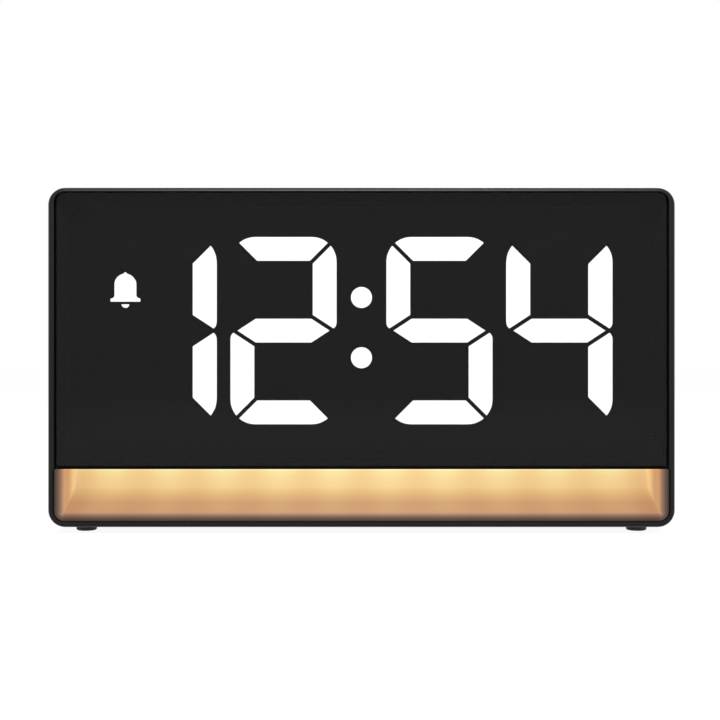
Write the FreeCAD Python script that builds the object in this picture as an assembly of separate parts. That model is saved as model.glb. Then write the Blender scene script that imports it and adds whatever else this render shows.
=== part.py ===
import FreeCAD, Part
import math
import os

from FreeCAD import Vector

# Mood light alarm clock, in millimetres.
# X runs to the right, Y to the back and Z up, seen from the front.
# The origin lies under the middle of the clock, on the surface that the feet stand on.

# Case: a moulded sleeve with a rounded rim at the front, closed by a cover at the back
case_width = 151.4
case_height = 82.0
case_depth = 40.0
case_corner_radius = 4.1
case_wall = 2.0
rim_side_width = 1.45
rim_top_width = 1.01
rim_bottom_width = 1.2
rim_side_width_at_strip = 1.2
rim_round = 0.85
rim_inner_chamfer = 0.15
bulkhead_thickness = 1.8
moulding_gap = 0.25
touch_gap = 0.05

# Feet: four rubber buttons glued into shallow seats in the floor
foot_height = 1.76
foot_radius = 2.65
foot_seat_depth = 0.4
foot_taper = 0.2
foot_edge_round = 0.4
foot_from_side = 7.5
foot_from_front = 9.0
foot_from_seam = 5.0

# Smoked display lens, taped to the bulkhead and standing on a thin shelf over the light
lens_recess = 0.4
lens_thickness = 2.0
lens_side_gap = 0.55
lens_top_gap = 0.08
lens_edge_chamfer = 0.08
lens_foot_radius = 0.5
tape_thickness = 0.3
shelf_thickness = 0.75
shelf_gap = 0.12
shelf_setback = 1.5
shelf_chamfer = 0.55

# Light tray: an alcove under the lens with a rounded lip and a coved floor
strip_height = 13.88
lip_gap = 0.22
lip_recess = 0.2
lip_width = 2.23
lip_foot_width = 2.1
lip_inner_round = 1.7
lip_outer_round = 0.3
alcove_depth = 13.0
alcove_side_draft = 0.3
alcove_floor_slope = 19.5
alcove_cove_radius = 3.5
tray_wall = 1.4
tray_rib_thickness = 1.2
tray_rib_count = 7
tray_rise_over_strip = 1.4
tray_boss_length = 8.0
tray_boss_led_count = 7

# Digits: seven-segment figures with round outer corners
digit_width = 26.05
digit_height = 45.8
digits_below_panel_middle = 0.41
segment_stroke = 6.04
segment_gap = 0.72
digit_corner_radius = 6.1
inner_digit_offset = 18.97
digit_pitch = 29.2
joint_inset = 0.95
joint_rise = 3.33
heel_radius = 1.9
colon_dot_radius = 2.68
colon_upper_rise = 8.07
colon_lower_drop = 6.59

# Bell sign, left of the first digit in place of its upper left segment
bell_offset = 57.49
bell_foot_rise = 6.93
bell_body_half_width = 2.73
bell_body_height = 4.33
bell_skirt_half_width = 3.7
bell_skirt_height = 1.02
bell_flare_radius = 0.65
bell_knob_half_width = 0.39
bell_knob_foot = 1.0
bell_knob_rise = 0.35
bell_cavity_radius = 4.5
clapper_radius = 1.03
clapper_gap = 0.43

# Segment frame: the black reflector block behind the lens
frame_wall_gap = 2.5
frame_above_light_board = 0.6
frame_depth = 8.5
frame_corner_radius = 1.5
frame_boss_inset = 1.9
cavity_taper = 0.74
window_depth = 2.0

# Circuit boards and what is soldered on them
board_thickness = 1.6
small_board_thickness = 1.2
board_corner_radius = 1.0
display_board_side_gap = 1.0
segment_led_length = 2.0
segment_led_width = 1.25
segment_led_height = 0.8
segment_led_spacing = 7.0
mood_led_count = 10
mood_led_pitch = 13.9
mood_led_size = 3.0
mood_led_height = 0.8
mood_led_from_back_wall = 2.6
light_board_front_gap = 0.6
light_board_overhang = 3.4
pin_thickness = 0.6
link_pin_pitch = 2.54
link_pin_count = 3
link_pin_rise = 3.6
chip_lead_count = 14
chip_length = 17.9
chip_width = 7.5
chip_height = 2.4
chip_lead_pitch = 1.27
chip_lead_width = 0.42
chip_lead_reach = 1.4
chip_lead_thickness = 0.3
crystal_radius = 1.5
crystal_length = 8.0
capacitor_radius = 4.0
capacitor_height = 9.0
capacitor_spacing = 11.0
buzzer_radius = 6.0
buzzer_height = 6.0
buzzer_hole_radius = 1.2
buzzer_hole_depth = 1.5
driver_chip_x = 14.0
controller_chip_x = 0.0
controller_chip_drop = 14.0
crystal_x = 16.0
capacitor_x = 30.0
capacitor_drop = 24.0

# Flat cable between the display board and the main board
cable_width = 12.7
cable_thickness = 0.9
cable_bend_radius = 1.8
cable_drop = 14.0
cable_socket_length = 16.0
cable_socket_width = 5.0
cable_socket_height = 4.0
cable_x = -34.0

# Push switches and their plungers
switch_size = 6.0
switch_height = 3.5
switch_bore_depth = 2.2
plunger_radius = 1.7
plunger_gap = 0.1
plunger_rise = 1.2
key_travel = 0.6

# Keys on the top
snooze_length = 60.0
snooze_width = 12.0
snooze_rise = 0.6
snooze_switch_offset = 18.0
mood_key_length = 13.0
mood_key_width = 10.0
mood_key_corner_radius = 4.0
mood_key_x = 50.0
top_key_edge_round = 0.5
key_hole_gap = 0.25
key_flange_width = 1.2
key_flange_thickness = 1.2
key_rest_gap = 0.1
top_board_width = 11.0
top_board_end_margin = 4.0
top_boss_offset = 35.0

# Rear cover
cover_thickness = 2.0
cover_edge_round = 1.5
cover_rim_depth = 4.0
seam_gap = 0.2
spigot_depth = 2.5
spigot_wall = 1.2
spigot_gap = 0.15
bay_depth = 1.6
bay_height = 12.0
bay_corner_radius = 3.0
bay_centre_x = 10.0
bay_length = 88.0
bay_rise = 54.1
bay_wall = 2.0

# Keys on the back
set_key_length = 11.0
set_key_width = 6.5
set_key_corner_radius = 2.0
set_key_edge_round = 0.4
set_key_pitch = 16.0
first_set_key_x = -2.0
set_key_sink = 0.2
set_plunger_rise = 2.4

# Alarm slide switch
slider_x = -24.0
slider_travel = 3.0
slider_knob_length = 5.5
slider_knob_width = 3.2
slider_flange_overlap = 1.7
slider_flange_thickness = 1.2
slider_running_gap = 0.2
slider_sink = 0.4
slider_groove_count = 3
slider_groove_width = 0.6
slider_groove_depth = 0.4
slide_switch_length = 8.6
slide_switch_width = 4.4
slide_switch_height = 4.0
slide_lever_size = 1.6
slide_lever_sink = 1.5
slide_lever_rise = 1.0

# Power socket, for a 5.5 mm plug with a 2.1 mm pin
socket_x = 4.0
socket_rise = 18.1
socket_body_size = 9.4
socket_nose_radius = 4.2
socket_nose_sink = 0.8
socket_bore_radius = 2.85
socket_pin_radius = 1.05
socket_floor = 1.2
socket_pin_sink = 1.2
socket_shoulder = 2.0

# Sound slots in front of the buzzer
sound_x = 40.0
sound_rise = 26.1
sound_slot_count = 5
sound_slot_length = 14.0
sound_slot_width = 1.4
sound_slot_pitch = 3.0

# Backup cell, its well and its door
cell_x = -40.0
cell_rise = 23.1
cell_radius = 10.0
cell_thickness = 3.2
cell_edge_round = 0.3
cell_gap = 0.4
cell_door_gap = 0.6
well_wall = 1.8
well_floor = 1.6
contact_thickness = 0.4
contact_width = 4.0
contact_length = 14.0
contact_leg_width = 1.6
door_width = 27.0
door_below_cell = 14.5
door_above_cell = 18.0
door_thickness = 1.6
door_gap = 0.2
door_corner_radius = 1.0
door_seat_thickness = 2.0
door_pad_radius = 6.0
door_pad_height = 0.5
tongue_width = 5.0
tongue_offset = 8.0
tongue_thickness = 1.1
tongue_reach = 1.5
tongue_root = 1.7
tongue_gap = 0.2
tongue_slot_height = 3.6
door_screw_drop = 3.6
door_boss_radius = 3.6
door_boss_height = 1.5
door_boss_gap = 0.3
door_screw_length = 3.1
door_screw_bore_gap = 0.4

# Screws and the bosses that they go into
case_screw_from_side = 6.0
case_screw_inset = 6.5
case_screw_foot_rise = 7.6
case_boss_radius = 3.0
case_boss_behind_screws = 1.9
case_post_length = 6.0
case_post_radius = 3.7
case_post_floor = 2.0
case_web_thickness = 1.6
case_screw_radius = 1.15
case_screw_length = 11.0
case_screw_head_radius = 2.3
case_screw_head_height = 1.6
counterbore_gap = 0.3
board_screw_radius = 0.9
board_screw_length = 6.0
board_screw_head_radius = 1.9
board_screw_head_height = 1.3
board_boss_radius = 2.3
thread_gap = 0.05
hole_gap = 0.3
pilot_run_out = 1.0
main_post_from_side = 15.5
main_post_from_base = 10.1
main_post_from_top = 13.7
main_board_margin = 3.5
main_board_rear_clearance = 9.0

# Places that follow from the sizes above
front = -case_depth / 2
back = case_depth / 2
base = foot_height
top = base + case_height
half_width = case_width / 2
inner_half_width = half_width - case_wall
inner_floor = base + case_wall
inner_top = top - case_wall
inner_corner_radius = case_corner_radius - case_wall
seam = back - cover_rim_depth

opening_half_width = half_width - rim_side_width
opening_top = top - rim_top_width
opening_floor = base + rim_bottom_width
opening_corner_radius = case_corner_radius - rim_side_width
strip_opening_half_width = half_width - rim_side_width_at_strip
strip_opening_corner_radius = case_corner_radius - rim_side_width_at_strip

lens_front = front + lens_recess
lens_back = lens_front + lens_thickness
bulkhead_front = lens_back + tape_thickness
bulkhead_back = bulkhead_front + bulkhead_thickness
lens_half_width = opening_half_width - lens_side_gap
lens_top = opening_top - lens_top_gap
strip_top = base + strip_height
lens_bottom = strip_top + shelf_thickness + shelf_gap

lip_front = front + lip_recess
lip_half_width = strip_opening_half_width - lip_gap
lip_bottom = opening_floor + lip_gap
lip_corner_radius = strip_opening_corner_radius - lip_gap
alcove_half_width = lip_half_width - lip_width
alcove_floor = lip_bottom + lip_foot_width
alcove_back = front + alcove_depth
tray_half_width = inner_half_width - moulding_gap
tray_back = alcove_back + tray_wall
tray_top = strip_top + tray_rise_over_strip
tray_front_wall_end = bulkhead_back + moulding_gap

digit_centre = (strip_top + top) / 2 - digits_below_panel_middle
digit_half_width = digit_width / 2
digit_half_height = digit_height / 2
outer_digit_offset = inner_digit_offset + digit_pitch
digit_offsets = (-outer_digit_offset, -inner_digit_offset, inner_digit_offset, outer_digit_offset)
frame_front = bulkhead_front
frame_back = frame_front + frame_depth

display_board_front = frame_back
display_board_back = display_board_front + board_thickness
display_board_half_width = inner_half_width - display_board_side_gap

light_board_bottom = tray_top
light_board_top = light_board_bottom + small_board_thickness
light_board_front = bulkhead_back + light_board_front_gap
light_board_back = tray_back + light_board_overhang

frame_half_width = inner_half_width - frame_wall_gap
frame_bottom = light_board_top + frame_above_light_board
frame_top = inner_top - frame_wall_gap

cover_inner = back - cover_thickness
main_board_back = cover_inner - main_board_rear_clearance
main_board_front = main_board_back - board_thickness
bay_floor = back - bay_depth
bay_inner = bay_floor - bay_wall
bay_z = base + bay_rise
main_post_x = half_width - main_post_from_side
main_board_low = base + main_post_from_base
main_board_high = top - main_post_from_top

top_key_centre_y = main_board_back - top_board_width / 2
top_flange_top = inner_top - key_rest_gap
top_flange_bottom = top_flange_top - key_flange_thickness
top_switch_top = top_flange_bottom - plunger_rise
top_board_top = top_switch_top - switch_height
top_board_bottom = top_board_top - small_board_thickness

# What the display shows, and which segments each digit has
digit_segments = ("abcdeg", "abcdefg", "abcdefg", "abcdefg")
lit_parts = ("bc", "abged", "afgcd", "fgbc")

# How near counts as the same place
NO_LENGTH = 1e-6
IN_PLANE = 1e-4


# Building blocks

def block(x0, x1, y0, y1, z0, z1):
    """A box between two corners."""
    return Part.makeBox(x1 - x0, y1 - y0, z1 - z0, Vector(x0, y0, z0))


def rod_x(y, z, radius, x0, x1):
    """A round bar along X."""
    return Part.makeCylinder(radius, x1 - x0, Vector(x0, y, z), Vector(1, 0, 0))


def rod_y(x, z, radius, y0, y1):
    """A round bar along Y."""
    return Part.makeCylinder(radius, y1 - y0, Vector(x, y0, z), Vector(0, 1, 0))


def rod_z(x, y, radius, z0, z1):
    """A round bar along Z."""
    return Part.makeCylinder(radius, z1 - z0, Vector(x, y, z0), Vector(0, 0, 1))


def outline(place, start, steps):
    """A closed wire. A step is (end,) for a line or (middle, end) for an arc, and place sets its plane."""
    edges = []
    here = start
    for step in steps:
        end = step[-1]
        if len(step) == 2:
            edges.append(Part.Arc(place(*here), place(*step[0]), place(*end)).toShape())
        elif math.dist(here, end) > NO_LENGTH:
            edges.append(Part.makeLine(place(*here), place(*end)))
        here = end
    return Part.Wire(edges)


def at_y(y):
    """Places (x, z) points in the plane at y."""
    return lambda x, z: Vector(x, y, z)


def at_z(z):
    """Places (x, y) points in the plane at z."""
    return lambda x, y: Vector(x, y, z)


def at_x(x):
    """Places (y, z) points in the plane at x."""
    return lambda y, z: Vector(x, y, z)


def round_rectangle(u0, u1, v0, v1, low_radius, high_radius):
    """Start and steps of a rectangle whose lower and upper corners are rounded."""
    low = low_radius * (1 - math.sqrt(0.5))
    high = high_radius * (1 - math.sqrt(0.5))
    start = (u0 + low_radius, v0)
    steps = [
        ((u1 - low_radius, v0),),
        ((u1 - low, v0 + low), (u1, v0 + low_radius)),
        ((u1, v1 - high_radius),),
        ((u1 - high, v1 - high), (u1 - high_radius, v1)),
        ((u0 + high_radius, v1),),
        ((u0 + high, v1 - high), (u0, v1 - high_radius)),
        ((u0, v0 + low_radius),),
        ((u0 + low, v0 + low), start),
    ]
    return start, steps


def plate_y(x0, x1, z0, z1, radius, y0, y1):
    """A plate with round corners, seen along Y."""
    start, steps = round_rectangle(x0, x1, z0, z1, radius, radius)
    return Part.Face(outline(at_y(y0), start, steps)).extrude(Vector(0, y1 - y0, 0))


def plate_z(x0, x1, y0, y1, radius, z0, z1):
    """A plate with round corners, seen along Z."""
    start, steps = round_rectangle(x0, x1, y0, y1, radius, radius)
    return Part.Face(outline(at_z(z0), start, steps)).extrude(Vector(0, 0, z1 - z0))


def prism_x(start, steps, x0, x1):
    """An outline in Y and Z, drawn out along X."""
    return Part.Face(outline(at_x(x0), start, steps)).extrude(Vector(x1 - x0, 0, 0))


def joined(shapes):
    """One solid made of several that touch or overlap."""
    return shapes[0].multiFuse(shapes[1:]).removeSplitter()


def without(shape, tools):
    """A solid with the tools cut away."""
    return shape.cut(Part.makeCompound(tools))


def edges_in_plane(shape, axis, value):
    """The edges of a shape that lie whole in the plane where the axis has a value."""
    found = []
    for edge in shape.Edges:
        box = edge.BoundBox
        low = getattr(box, axis + "Min")
        high = getattr(box, axis + "Max")
        if abs(low - value) < IN_PLANE and abs(high - value) < IN_PLANE:
            found.append(edge)
    return found


def write(name, shape):
    """Writes one sub-part, as a solid or a group of solids."""
    solids = shape.Solids
    if len(solids) == 1:
        shape = solids[0]
    else:
        shape = Part.makeCompound(solids)
    shape.exportStep(os.path.join("parts", name + ".step"))


# Case

def case_screw_places():
    """The four case screws, near the corners."""
    low = base + case_screw_foot_rise
    high = top - case_screw_inset
    reach = half_width - case_screw_from_side
    return [(x, z) for x in (-reach, reach) for z in (low, high)]


def display_screw_places():
    """The four screws of the display board, in the segment frame's corners."""
    reach = frame_half_width - frame_boss_inset
    low = frame_bottom + frame_boss_inset
    high = frame_top - frame_boss_inset
    return [(x, z) for x in (-reach, reach) for z in (low, high)]


def top_board_screw_places():
    """The two screws of the top board, outside the ends of the snooze bar."""
    return [(-top_boss_offset, top_key_centre_y), (top_boss_offset, top_key_centre_y)]


def foot_places():
    """The four feet: name and middle."""
    places = {}
    reach = half_width - foot_from_side
    for side, x in (("left", -reach), ("right", reach)):
        places["foot_front_" + side] = (x, front + foot_from_front)
        places["foot_rear_" + side] = (x, seam - foot_from_seam)
    return places


def case_boss(x, z):
    """A screw boss on a web from the side wall, behind the display board."""
    boss_end = cover_inner - case_post_length
    boss_start = display_board_back + board_screw_head_height + case_boss_behind_screws
    side = math.copysign(1, x)
    wall = side * (inner_half_width + case_wall / 2)
    web = block(min(x, wall), max(x, wall), boss_start, boss_end,
                z - case_web_thickness / 2, z + case_web_thickness / 2)
    return rod_y(x, z, case_boss_radius, boss_start, boss_end).fuse(web)


def frame_plate(gap, y0, y1):
    """The segment frame's outline, grown by a gap: its corners step round the display bosses."""
    plate = plate_y(-frame_half_width - gap, frame_half_width + gap, frame_bottom - gap, frame_top + gap,
                    frame_corner_radius, y0, y1)
    radius = board_boss_radius + moulding_gap - gap
    corners = []
    for x, z in display_screw_places():
        far_x = math.copysign(half_width, x)
        far_z = base if z < digit_centre else top
        near_x = x - math.copysign(radius, x)
        near_z = z + math.copysign(radius, digit_centre - z)
        corners.append(plate_y(min(near_x, far_x), max(near_x, far_x),
                               min(near_z, far_z), max(near_z, far_z), radius, y0, y1))
    return without(plate, corners)


def rim_opening(y, grown):
    """The opening's outline at a depth, grown all round."""
    start, steps = round_rectangle(-opening_half_width - grown, opening_half_width + grown,
                                   opening_floor - grown, opening_top + grown,
                                   opening_corner_radius + grown, opening_corner_radius + grown)
    return outline(at_y(y), start, steps)


def front_pocket():
    """The space inside the rim, with a chamfered mouth, and a little wider round the light strip."""
    throat_start = front + rim_inner_chamfer
    mouth = Part.makeLoft([rim_opening(front, rim_inner_chamfer), rim_opening(throat_start, 0)], True, True)
    throat = Part.Face(rim_opening(throat_start, 0)).extrude(Vector(0, bulkhead_front - throat_start, 0))
    strip = plate_y(-strip_opening_half_width, strip_opening_half_width, opening_floor, opening_top,
                    strip_opening_corner_radius, front, bulkhead_front)
    strip = strip.common(block(-half_width, half_width, front, bulkhead_front, base, strip_top))
    return joined([mouth, throat, strip])


def lens_shelf():
    """The thin shelf that the lens stands on, set back and chamfered along its front edge."""
    shelf_front = lens_front + shelf_setback
    shelf_top = strip_top + shelf_thickness
    start = (shelf_front, strip_top)
    steps = [
        ((bulkhead_front, strip_top),),
        ((bulkhead_front, shelf_top),),
        ((shelf_front + shelf_chamfer, shelf_top),),
        ((shelf_front, shelf_top - shelf_chamfer),),
        (start,),
    ]
    return prism_x(start, steps, -opening_half_width, opening_half_width)


def front_housing():
    """The sleeve with its rounded rim, bulkhead, lens shelf, bosses and key holes."""
    start, steps = round_rectangle(-half_width, half_width, base, top,
                                   case_corner_radius, case_corner_radius)
    sleeve = Part.Face(outline(at_y(front), start, steps)).extrude(Vector(0, seam - front, 0))
    sleeve = sleeve.makeFillet(rim_round, edges_in_plane(sleeve, "Y", front))
    cavity = plate_y(-inner_half_width, inner_half_width, inner_floor, inner_top,
                     inner_corner_radius, bulkhead_back, seam)
    window = frame_plate(moulding_gap, bulkhead_front, bulkhead_back)
    tray_opening = plate_y(-inner_half_width, inner_half_width, inner_floor, inner_top,
                           inner_corner_radius, bulkhead_front, bulkhead_back)
    tray_opening = tray_opening.common(block(-half_width, half_width, front, back, base, strip_top))
    housing = without(sleeve, [front_pocket(), cavity, window, tray_opening])

    bosses = [case_boss(x, z) for x, z in case_screw_places()]
    for x, z in display_screw_places():
        bosses.append(rod_y(x, z, board_boss_radius, bulkhead_back, display_board_front))
    for x, y in top_board_screw_places():
        bosses.append(rod_z(x, y, board_boss_radius, top_board_top, inner_top))
    housing = joined([housing, lens_shelf()] + bosses)

    boss_end = cover_inner - case_post_length
    screw_reach = case_screw_length - case_post_floor + pilot_run_out
    holes = []
    for x, z in case_screw_places():
        holes.append(rod_y(x, z, case_screw_radius + thread_gap, boss_end - screw_reach, boss_end))
    board_reach = board_screw_length - board_thickness + pilot_run_out
    for x, z in display_screw_places():
        holes.append(rod_y(x, z, board_screw_radius + thread_gap,
                           display_board_front - board_reach, display_board_front))
    for x, y in top_board_screw_places():
        holes.append(rod_z(x, y, board_screw_radius + thread_gap,
                           top_board_top, top_board_top + board_reach))
    holes.append(top_key_hole(0, snooze_length, snooze_width, snooze_width / 2))
    holes.append(top_key_hole(mood_key_x, mood_key_length, mood_key_width, mood_key_corner_radius))
    for x, y in foot_places().values():
        holes.append(rod_z(x, y, foot_radius + touch_gap, base, base + foot_seat_depth))
    return without(housing, holes)


def foot(x, y):
    """A rubber foot: a short button whose lower edge is rounded."""
    button = Part.makeCone(foot_radius - foot_taper, foot_radius, base, Vector(x, y, 0))
    button = button.makeFillet(foot_edge_round, edges_in_plane(button, "Z", 0))
    return joined([button, rod_z(x, y, foot_radius, base, base + foot_seat_depth)])


# Lens and segment frame

def display_lens():
    """The flat smoked panel, round at its upper corners and square on the shelf."""
    start, steps = round_rectangle(-lens_half_width, lens_half_width, lens_bottom, lens_top,
                                   lens_foot_radius, opening_corner_radius - lens_side_gap)
    panel = Part.Face(outline(at_y(lens_front), start, steps)).extrude(Vector(0, lens_thickness, 0))
    return panel.makeChamfer(lens_edge_chamfer, edges_in_plane(panel, "Y", lens_front))


def lens_tape():
    """The ring of double-sided tape between lens and bulkhead."""
    tape = plate_y(-lens_half_width, lens_half_width, lens_bottom, lens_top,
                   opening_corner_radius - lens_side_gap, lens_back, bulkhead_front)
    return tape.cut(frame_plate(moulding_gap, lens_back, bulkhead_front))


def line_meets_line(point_a, angle_a, point_b, angle_b):
    """Where two lines in a plane cross."""
    ax, az = math.cos(angle_a), math.sin(angle_a)
    bx, bz = math.cos(angle_b), math.sin(angle_b)
    across = bx * (point_b[1] - point_a[1]) - bz * (point_b[0] - point_a[0])
    along = across / (bx * az - bz * ax)
    return (point_a[0] + along * ax, point_a[1] + along * az)


def line_meets_circle(point, angle, centre, radius):
    """Where a line leaves a circle, going the line's way."""
    dx, dz = point[0] - centre[0], point[1] - centre[1]
    towards = dx * math.cos(angle) + dz * math.sin(angle)
    along = -towards + math.sqrt(towards ** 2 - dx ** 2 - dz ** 2 + radius ** 2)
    return (point[0] + along * math.cos(angle), point[1] + along * math.sin(angle))


def arc_middle(centre, radius, first, last):
    """The point halfway along the short arc from first to last."""
    u = (first[0] + last[0]) / 2 - centre[0]
    v = (first[1] + last[1]) / 2 - centre[1]
    reach = radius / math.hypot(u, v)
    return (centre[0] + u * reach, centre[1] + v * reach)


def top_bar():
    """Outline of segment a about the digit's middle: flat on top, round at its ends, mitred below."""
    w, h, r = digit_half_width, digit_half_height, digit_corner_radius
    inner_z = h - segment_stroke
    inner_x = w - segment_stroke - segment_gap / 2 * math.sqrt(2)
    centre = (w - r, h - r)
    tip = line_meets_circle((inner_x, inner_z), math.radians(45), centre, r)
    shoulder = (w - r, h)
    bend = arc_middle(centre, r, tip, shoulder)
    start = (-inner_x, inner_z)
    steps = [
        ((inner_x, inner_z),),
        (tip,),
        (bend, shoulder),
        ((-shoulder[0], shoulder[1]),),
        ((-bend[0], bend[1]), (-tip[0], tip[1])),
        (start,),
    ]
    return start, steps


def upper_right_bar():
    """Outline of segment b: mitred and round at the top, slanting to a heel at the middle."""
    w, h, r = digit_half_width, digit_half_height, digit_corner_radius
    half_gap = segment_gap / 2
    inner_x = w - segment_stroke
    mitre = (inner_x, h - segment_stroke - half_gap * math.sqrt(2))
    centre = (w - r, h - r)
    tip = line_meets_circle(mitre, math.radians(45), centre, r)
    shoulder = (w, h - r)
    slant = math.atan2(-joint_rise, segment_stroke - joint_inset)
    offset = (half_gap * -math.sin(slant), half_gap * math.cos(slant))
    crossing = (w - joint_inset + offset[0], offset[1])
    foot_point = line_meets_line(crossing, slant, (0, half_gap), 0)
    inner_foot = line_meets_line(crossing, slant, (inner_x, 0), math.radians(90))
    heel_in = w - foot_point[0]
    heel_rise = math.sqrt(heel_radius ** 2 - (heel_radius - heel_in) ** 2)
    heel_centre = (w - heel_radius, foot_point[1] + heel_rise)
    heel_start = (w, heel_centre[1])
    start = mitre
    steps = [
        (tip,),
        (arc_middle(centre, r, tip, shoulder), shoulder),
        (heel_start,),
        (arc_middle(heel_centre, heel_radius, heel_start, foot_point), foot_point),
        (inner_foot,),
        (start,),
    ]
    return start, steps


def middle_bar():
    """Outline of segment g: a long hexagon between the four uprights."""
    half_gap = segment_gap / 2
    half_stroke = segment_stroke / 2
    slant = math.atan2(-joint_rise, segment_stroke - joint_inset)
    offset = (half_gap * math.sin(slant), -half_gap * math.cos(slant))
    crossing = (digit_half_width - joint_inset + offset[0], offset[1])
    tip = line_meets_line(crossing, slant, (0, 0), 0)
    corner = line_meets_line(crossing, slant, (0, half_stroke), 0)
    start = (-tip[0], 0)
    steps = [
        ((-corner[0], -half_stroke),),
        ((corner[0], -half_stroke),),
        (tip,),
        (corner,),
        ((-corner[0], half_stroke),),
        (start,),
    ]
    return start, steps


def mirrored(shape_outline, flip_x, flip_z):
    """The same outline turned over left to right, upside down, or both."""
    start, steps = shape_outline

    def turn(point):
        return (point[0] * flip_x, point[1] * flip_z)

    return turn(start), [tuple(turn(point) for point in step) for step in steps]


def moved(shape_outline, x, z):
    """The same outline at another place."""
    start, steps = shape_outline

    def shift(point):
        return (point[0] + x, point[1] + z)

    return shift(start), [tuple(shift(point) for point in step) for step in steps]


def segment_outline(letter):
    """The outline of one segment about the digit's middle."""
    outlines = {
        "a": (top_bar, 1, 1),
        "b": (upper_right_bar, 1, 1),
        "c": (upper_right_bar, 1, -1),
        "d": (top_bar, 1, -1),
        "e": (upper_right_bar, -1, -1),
        "f": (upper_right_bar, -1, 1),
        "g": (middle_bar, 1, 1),
    }
    make, flip_x, flip_z = outlines[letter]
    return mirrored(make(), flip_x, flip_z)


def bell_outline():
    """The bell sign: a knob, a domed body and a flared skirt, flat at its foot."""
    foot_z = digit_centre + bell_foot_rise
    body, skirt, flare = bell_body_half_width, bell_skirt_half_width, bell_flare_radius
    skirt_z = foot_z + bell_skirt_height
    waist_z = skirt_z + flare
    dome_z = foot_z + bell_body_height
    crown_z = dome_z + body
    shoulder = (bell_knob_foot, dome_z + math.sqrt(body ** 2 - bell_knob_foot ** 2))
    waist = (body, waist_z)
    skirt_in = (body + flare, skirt_z)
    skirt_out = (skirt, skirt_z - (skirt - body - flare))
    skirt_bend = arc_middle((skirt_in[0], skirt_out[1]), skirt - skirt_in[0], skirt_in, skirt_out)
    flare_bend = arc_middle((skirt_in[0], waist_z), flare, waist, skirt_in)
    dome_bend = arc_middle((0, dome_z), body, (body, dome_z), shoulder)
    steps = [
        ((skirt, foot_z),),
        (skirt_out,),
        (skirt_bend, skirt_in),
        (flare_bend, waist),
        ((body, dome_z),),
        (dome_bend, shoulder),
        ((bell_knob_half_width, crown_z),),
        ((0, crown_z + bell_knob_rise), (-bell_knob_half_width, crown_z)),
        ((-shoulder[0], shoulder[1]),),
        ((-dome_bend[0], dome_bend[1]), (-body, dome_z)),
        ((-body, waist_z),),
        ((-flare_bend[0], flare_bend[1]), (-skirt_in[0], skirt_z)),
        ((-skirt_bend[0], skirt_bend[1]), (-skirt, skirt_out[1])),
        ((-skirt, foot_z),),
    ]
    return moved(((-skirt, foot_z), steps), -bell_offset, 0)


def clapper_outline():
    """The half disc under the bell."""
    flat_z = digit_centre + bell_foot_rise - clapper_gap
    start = (-clapper_radius, flat_z)
    steps = [
        ((0, flat_z - clapper_radius), (clapper_radius, flat_z)),
        (start,),
    ]
    return moved((start, steps), -bell_offset, 0)


def dot_outline(z):
    """One dot of the colon."""
    start = (-colon_dot_radius, z)
    steps = [
        ((0, z - colon_dot_radius), (colon_dot_radius, z)),
        ((0, z + colon_dot_radius), start),
    ]
    return start, steps


def dot_outlines():
    """The two dots of the colon."""
    return [dot_outline(digit_centre + colon_upper_rise), dot_outline(digit_centre - colon_lower_drop)]


def display_outlines():
    """The windows with a cavity each, as a list of lit ones and a list of dark ones."""
    lit = dot_outlines()
    dark = []
    for x, letters, shown in zip(digit_offsets, digit_segments, lit_parts):
        for letter in letters:
            window = moved(segment_outline(letter), x, digit_centre)
            if letter in shown:
                lit.append(window)
            else:
                dark.append(window)
    return lit, dark


def funnel(shape_outline, depth):
    """A window's cavity from the frame's front to a depth, narrowing about its middle."""
    start, steps = shape_outline
    mouth = outline(at_y(frame_front), start, steps)
    middle = Part.Face(mouth).CenterOfMass
    share = 1 - (1 - cavity_taper) * depth / frame_depth

    def narrow(point):
        return (middle.x + (point[0] - middle.x) * share, middle.z + (point[1] - middle.z) * share)

    inner_steps = [tuple(narrow(point) for point in step) for step in steps]
    inner = outline(at_y(frame_front + depth), narrow(start), inner_steps)
    return Part.makeLoft([mouth, inner], True, True)


def segment_frame():
    """The reflector block with one narrowing cavity behind each window."""
    frame = frame_plate(0, frame_front, frame_back)
    lit, dark = display_outlines()
    cuts = [funnel(window, frame_depth) for window in lit + dark]
    cuts += [funnel(window, window_depth) for window in (bell_outline(), clapper_outline())]
    cuts.append(rod_y(-bell_offset, bell_cavity_z(), bell_cavity_radius,
                      frame_front + window_depth, frame_back))
    return without(frame, cuts)


def bell_cavity_z():
    """Middle of the round cavity that the bell and its clapper share."""
    foot_z = digit_centre + bell_foot_rise
    crown_z = foot_z + bell_body_height + bell_body_half_width
    return (crown_z + foot_z - clapper_gap - clapper_radius) / 2


def windows(outlines):
    """The milky windows that fill the mouths of the cavities."""
    return Part.makeCompound([funnel(window, window_depth) for window in outlines])


def segment_led_places():
    """Two small lamps behind each segment and one behind each sign: middle and whether upright."""
    places = []
    upright = "bcef"
    for x, letters in zip(digit_offsets, digit_segments):
        for letter in letters:
            start, steps = moved(segment_outline(letter), x, digit_centre)
            middle = Part.Face(outline(at_y(0), start, steps)).CenterOfMass
            stands = letter in upright
            for side in (-segment_led_spacing / 2, segment_led_spacing / 2):
                if stands:
                    places.append((middle.x, middle.z + side, stands))
                else:
                    places.append((middle.x + side, middle.z, stands))
    places.append((-bell_offset, bell_cavity_z(), True))
    places.append((0, digit_centre + colon_upper_rise, True))
    places.append((0, digit_centre - colon_lower_drop, True))
    return places


def display_leds():
    """The lamps on the front of the display board."""
    lamps = []
    for x, z, stands in segment_led_places():
        half_x = (segment_led_width if stands else segment_led_length) / 2
        half_z = (segment_led_length if stands else segment_led_width) / 2
        lamps.append(block(x - half_x, x + half_x, display_board_front - segment_led_height,
                           display_board_front, z - half_z, z + half_z))
    return Part.makeCompound(lamps)


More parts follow.
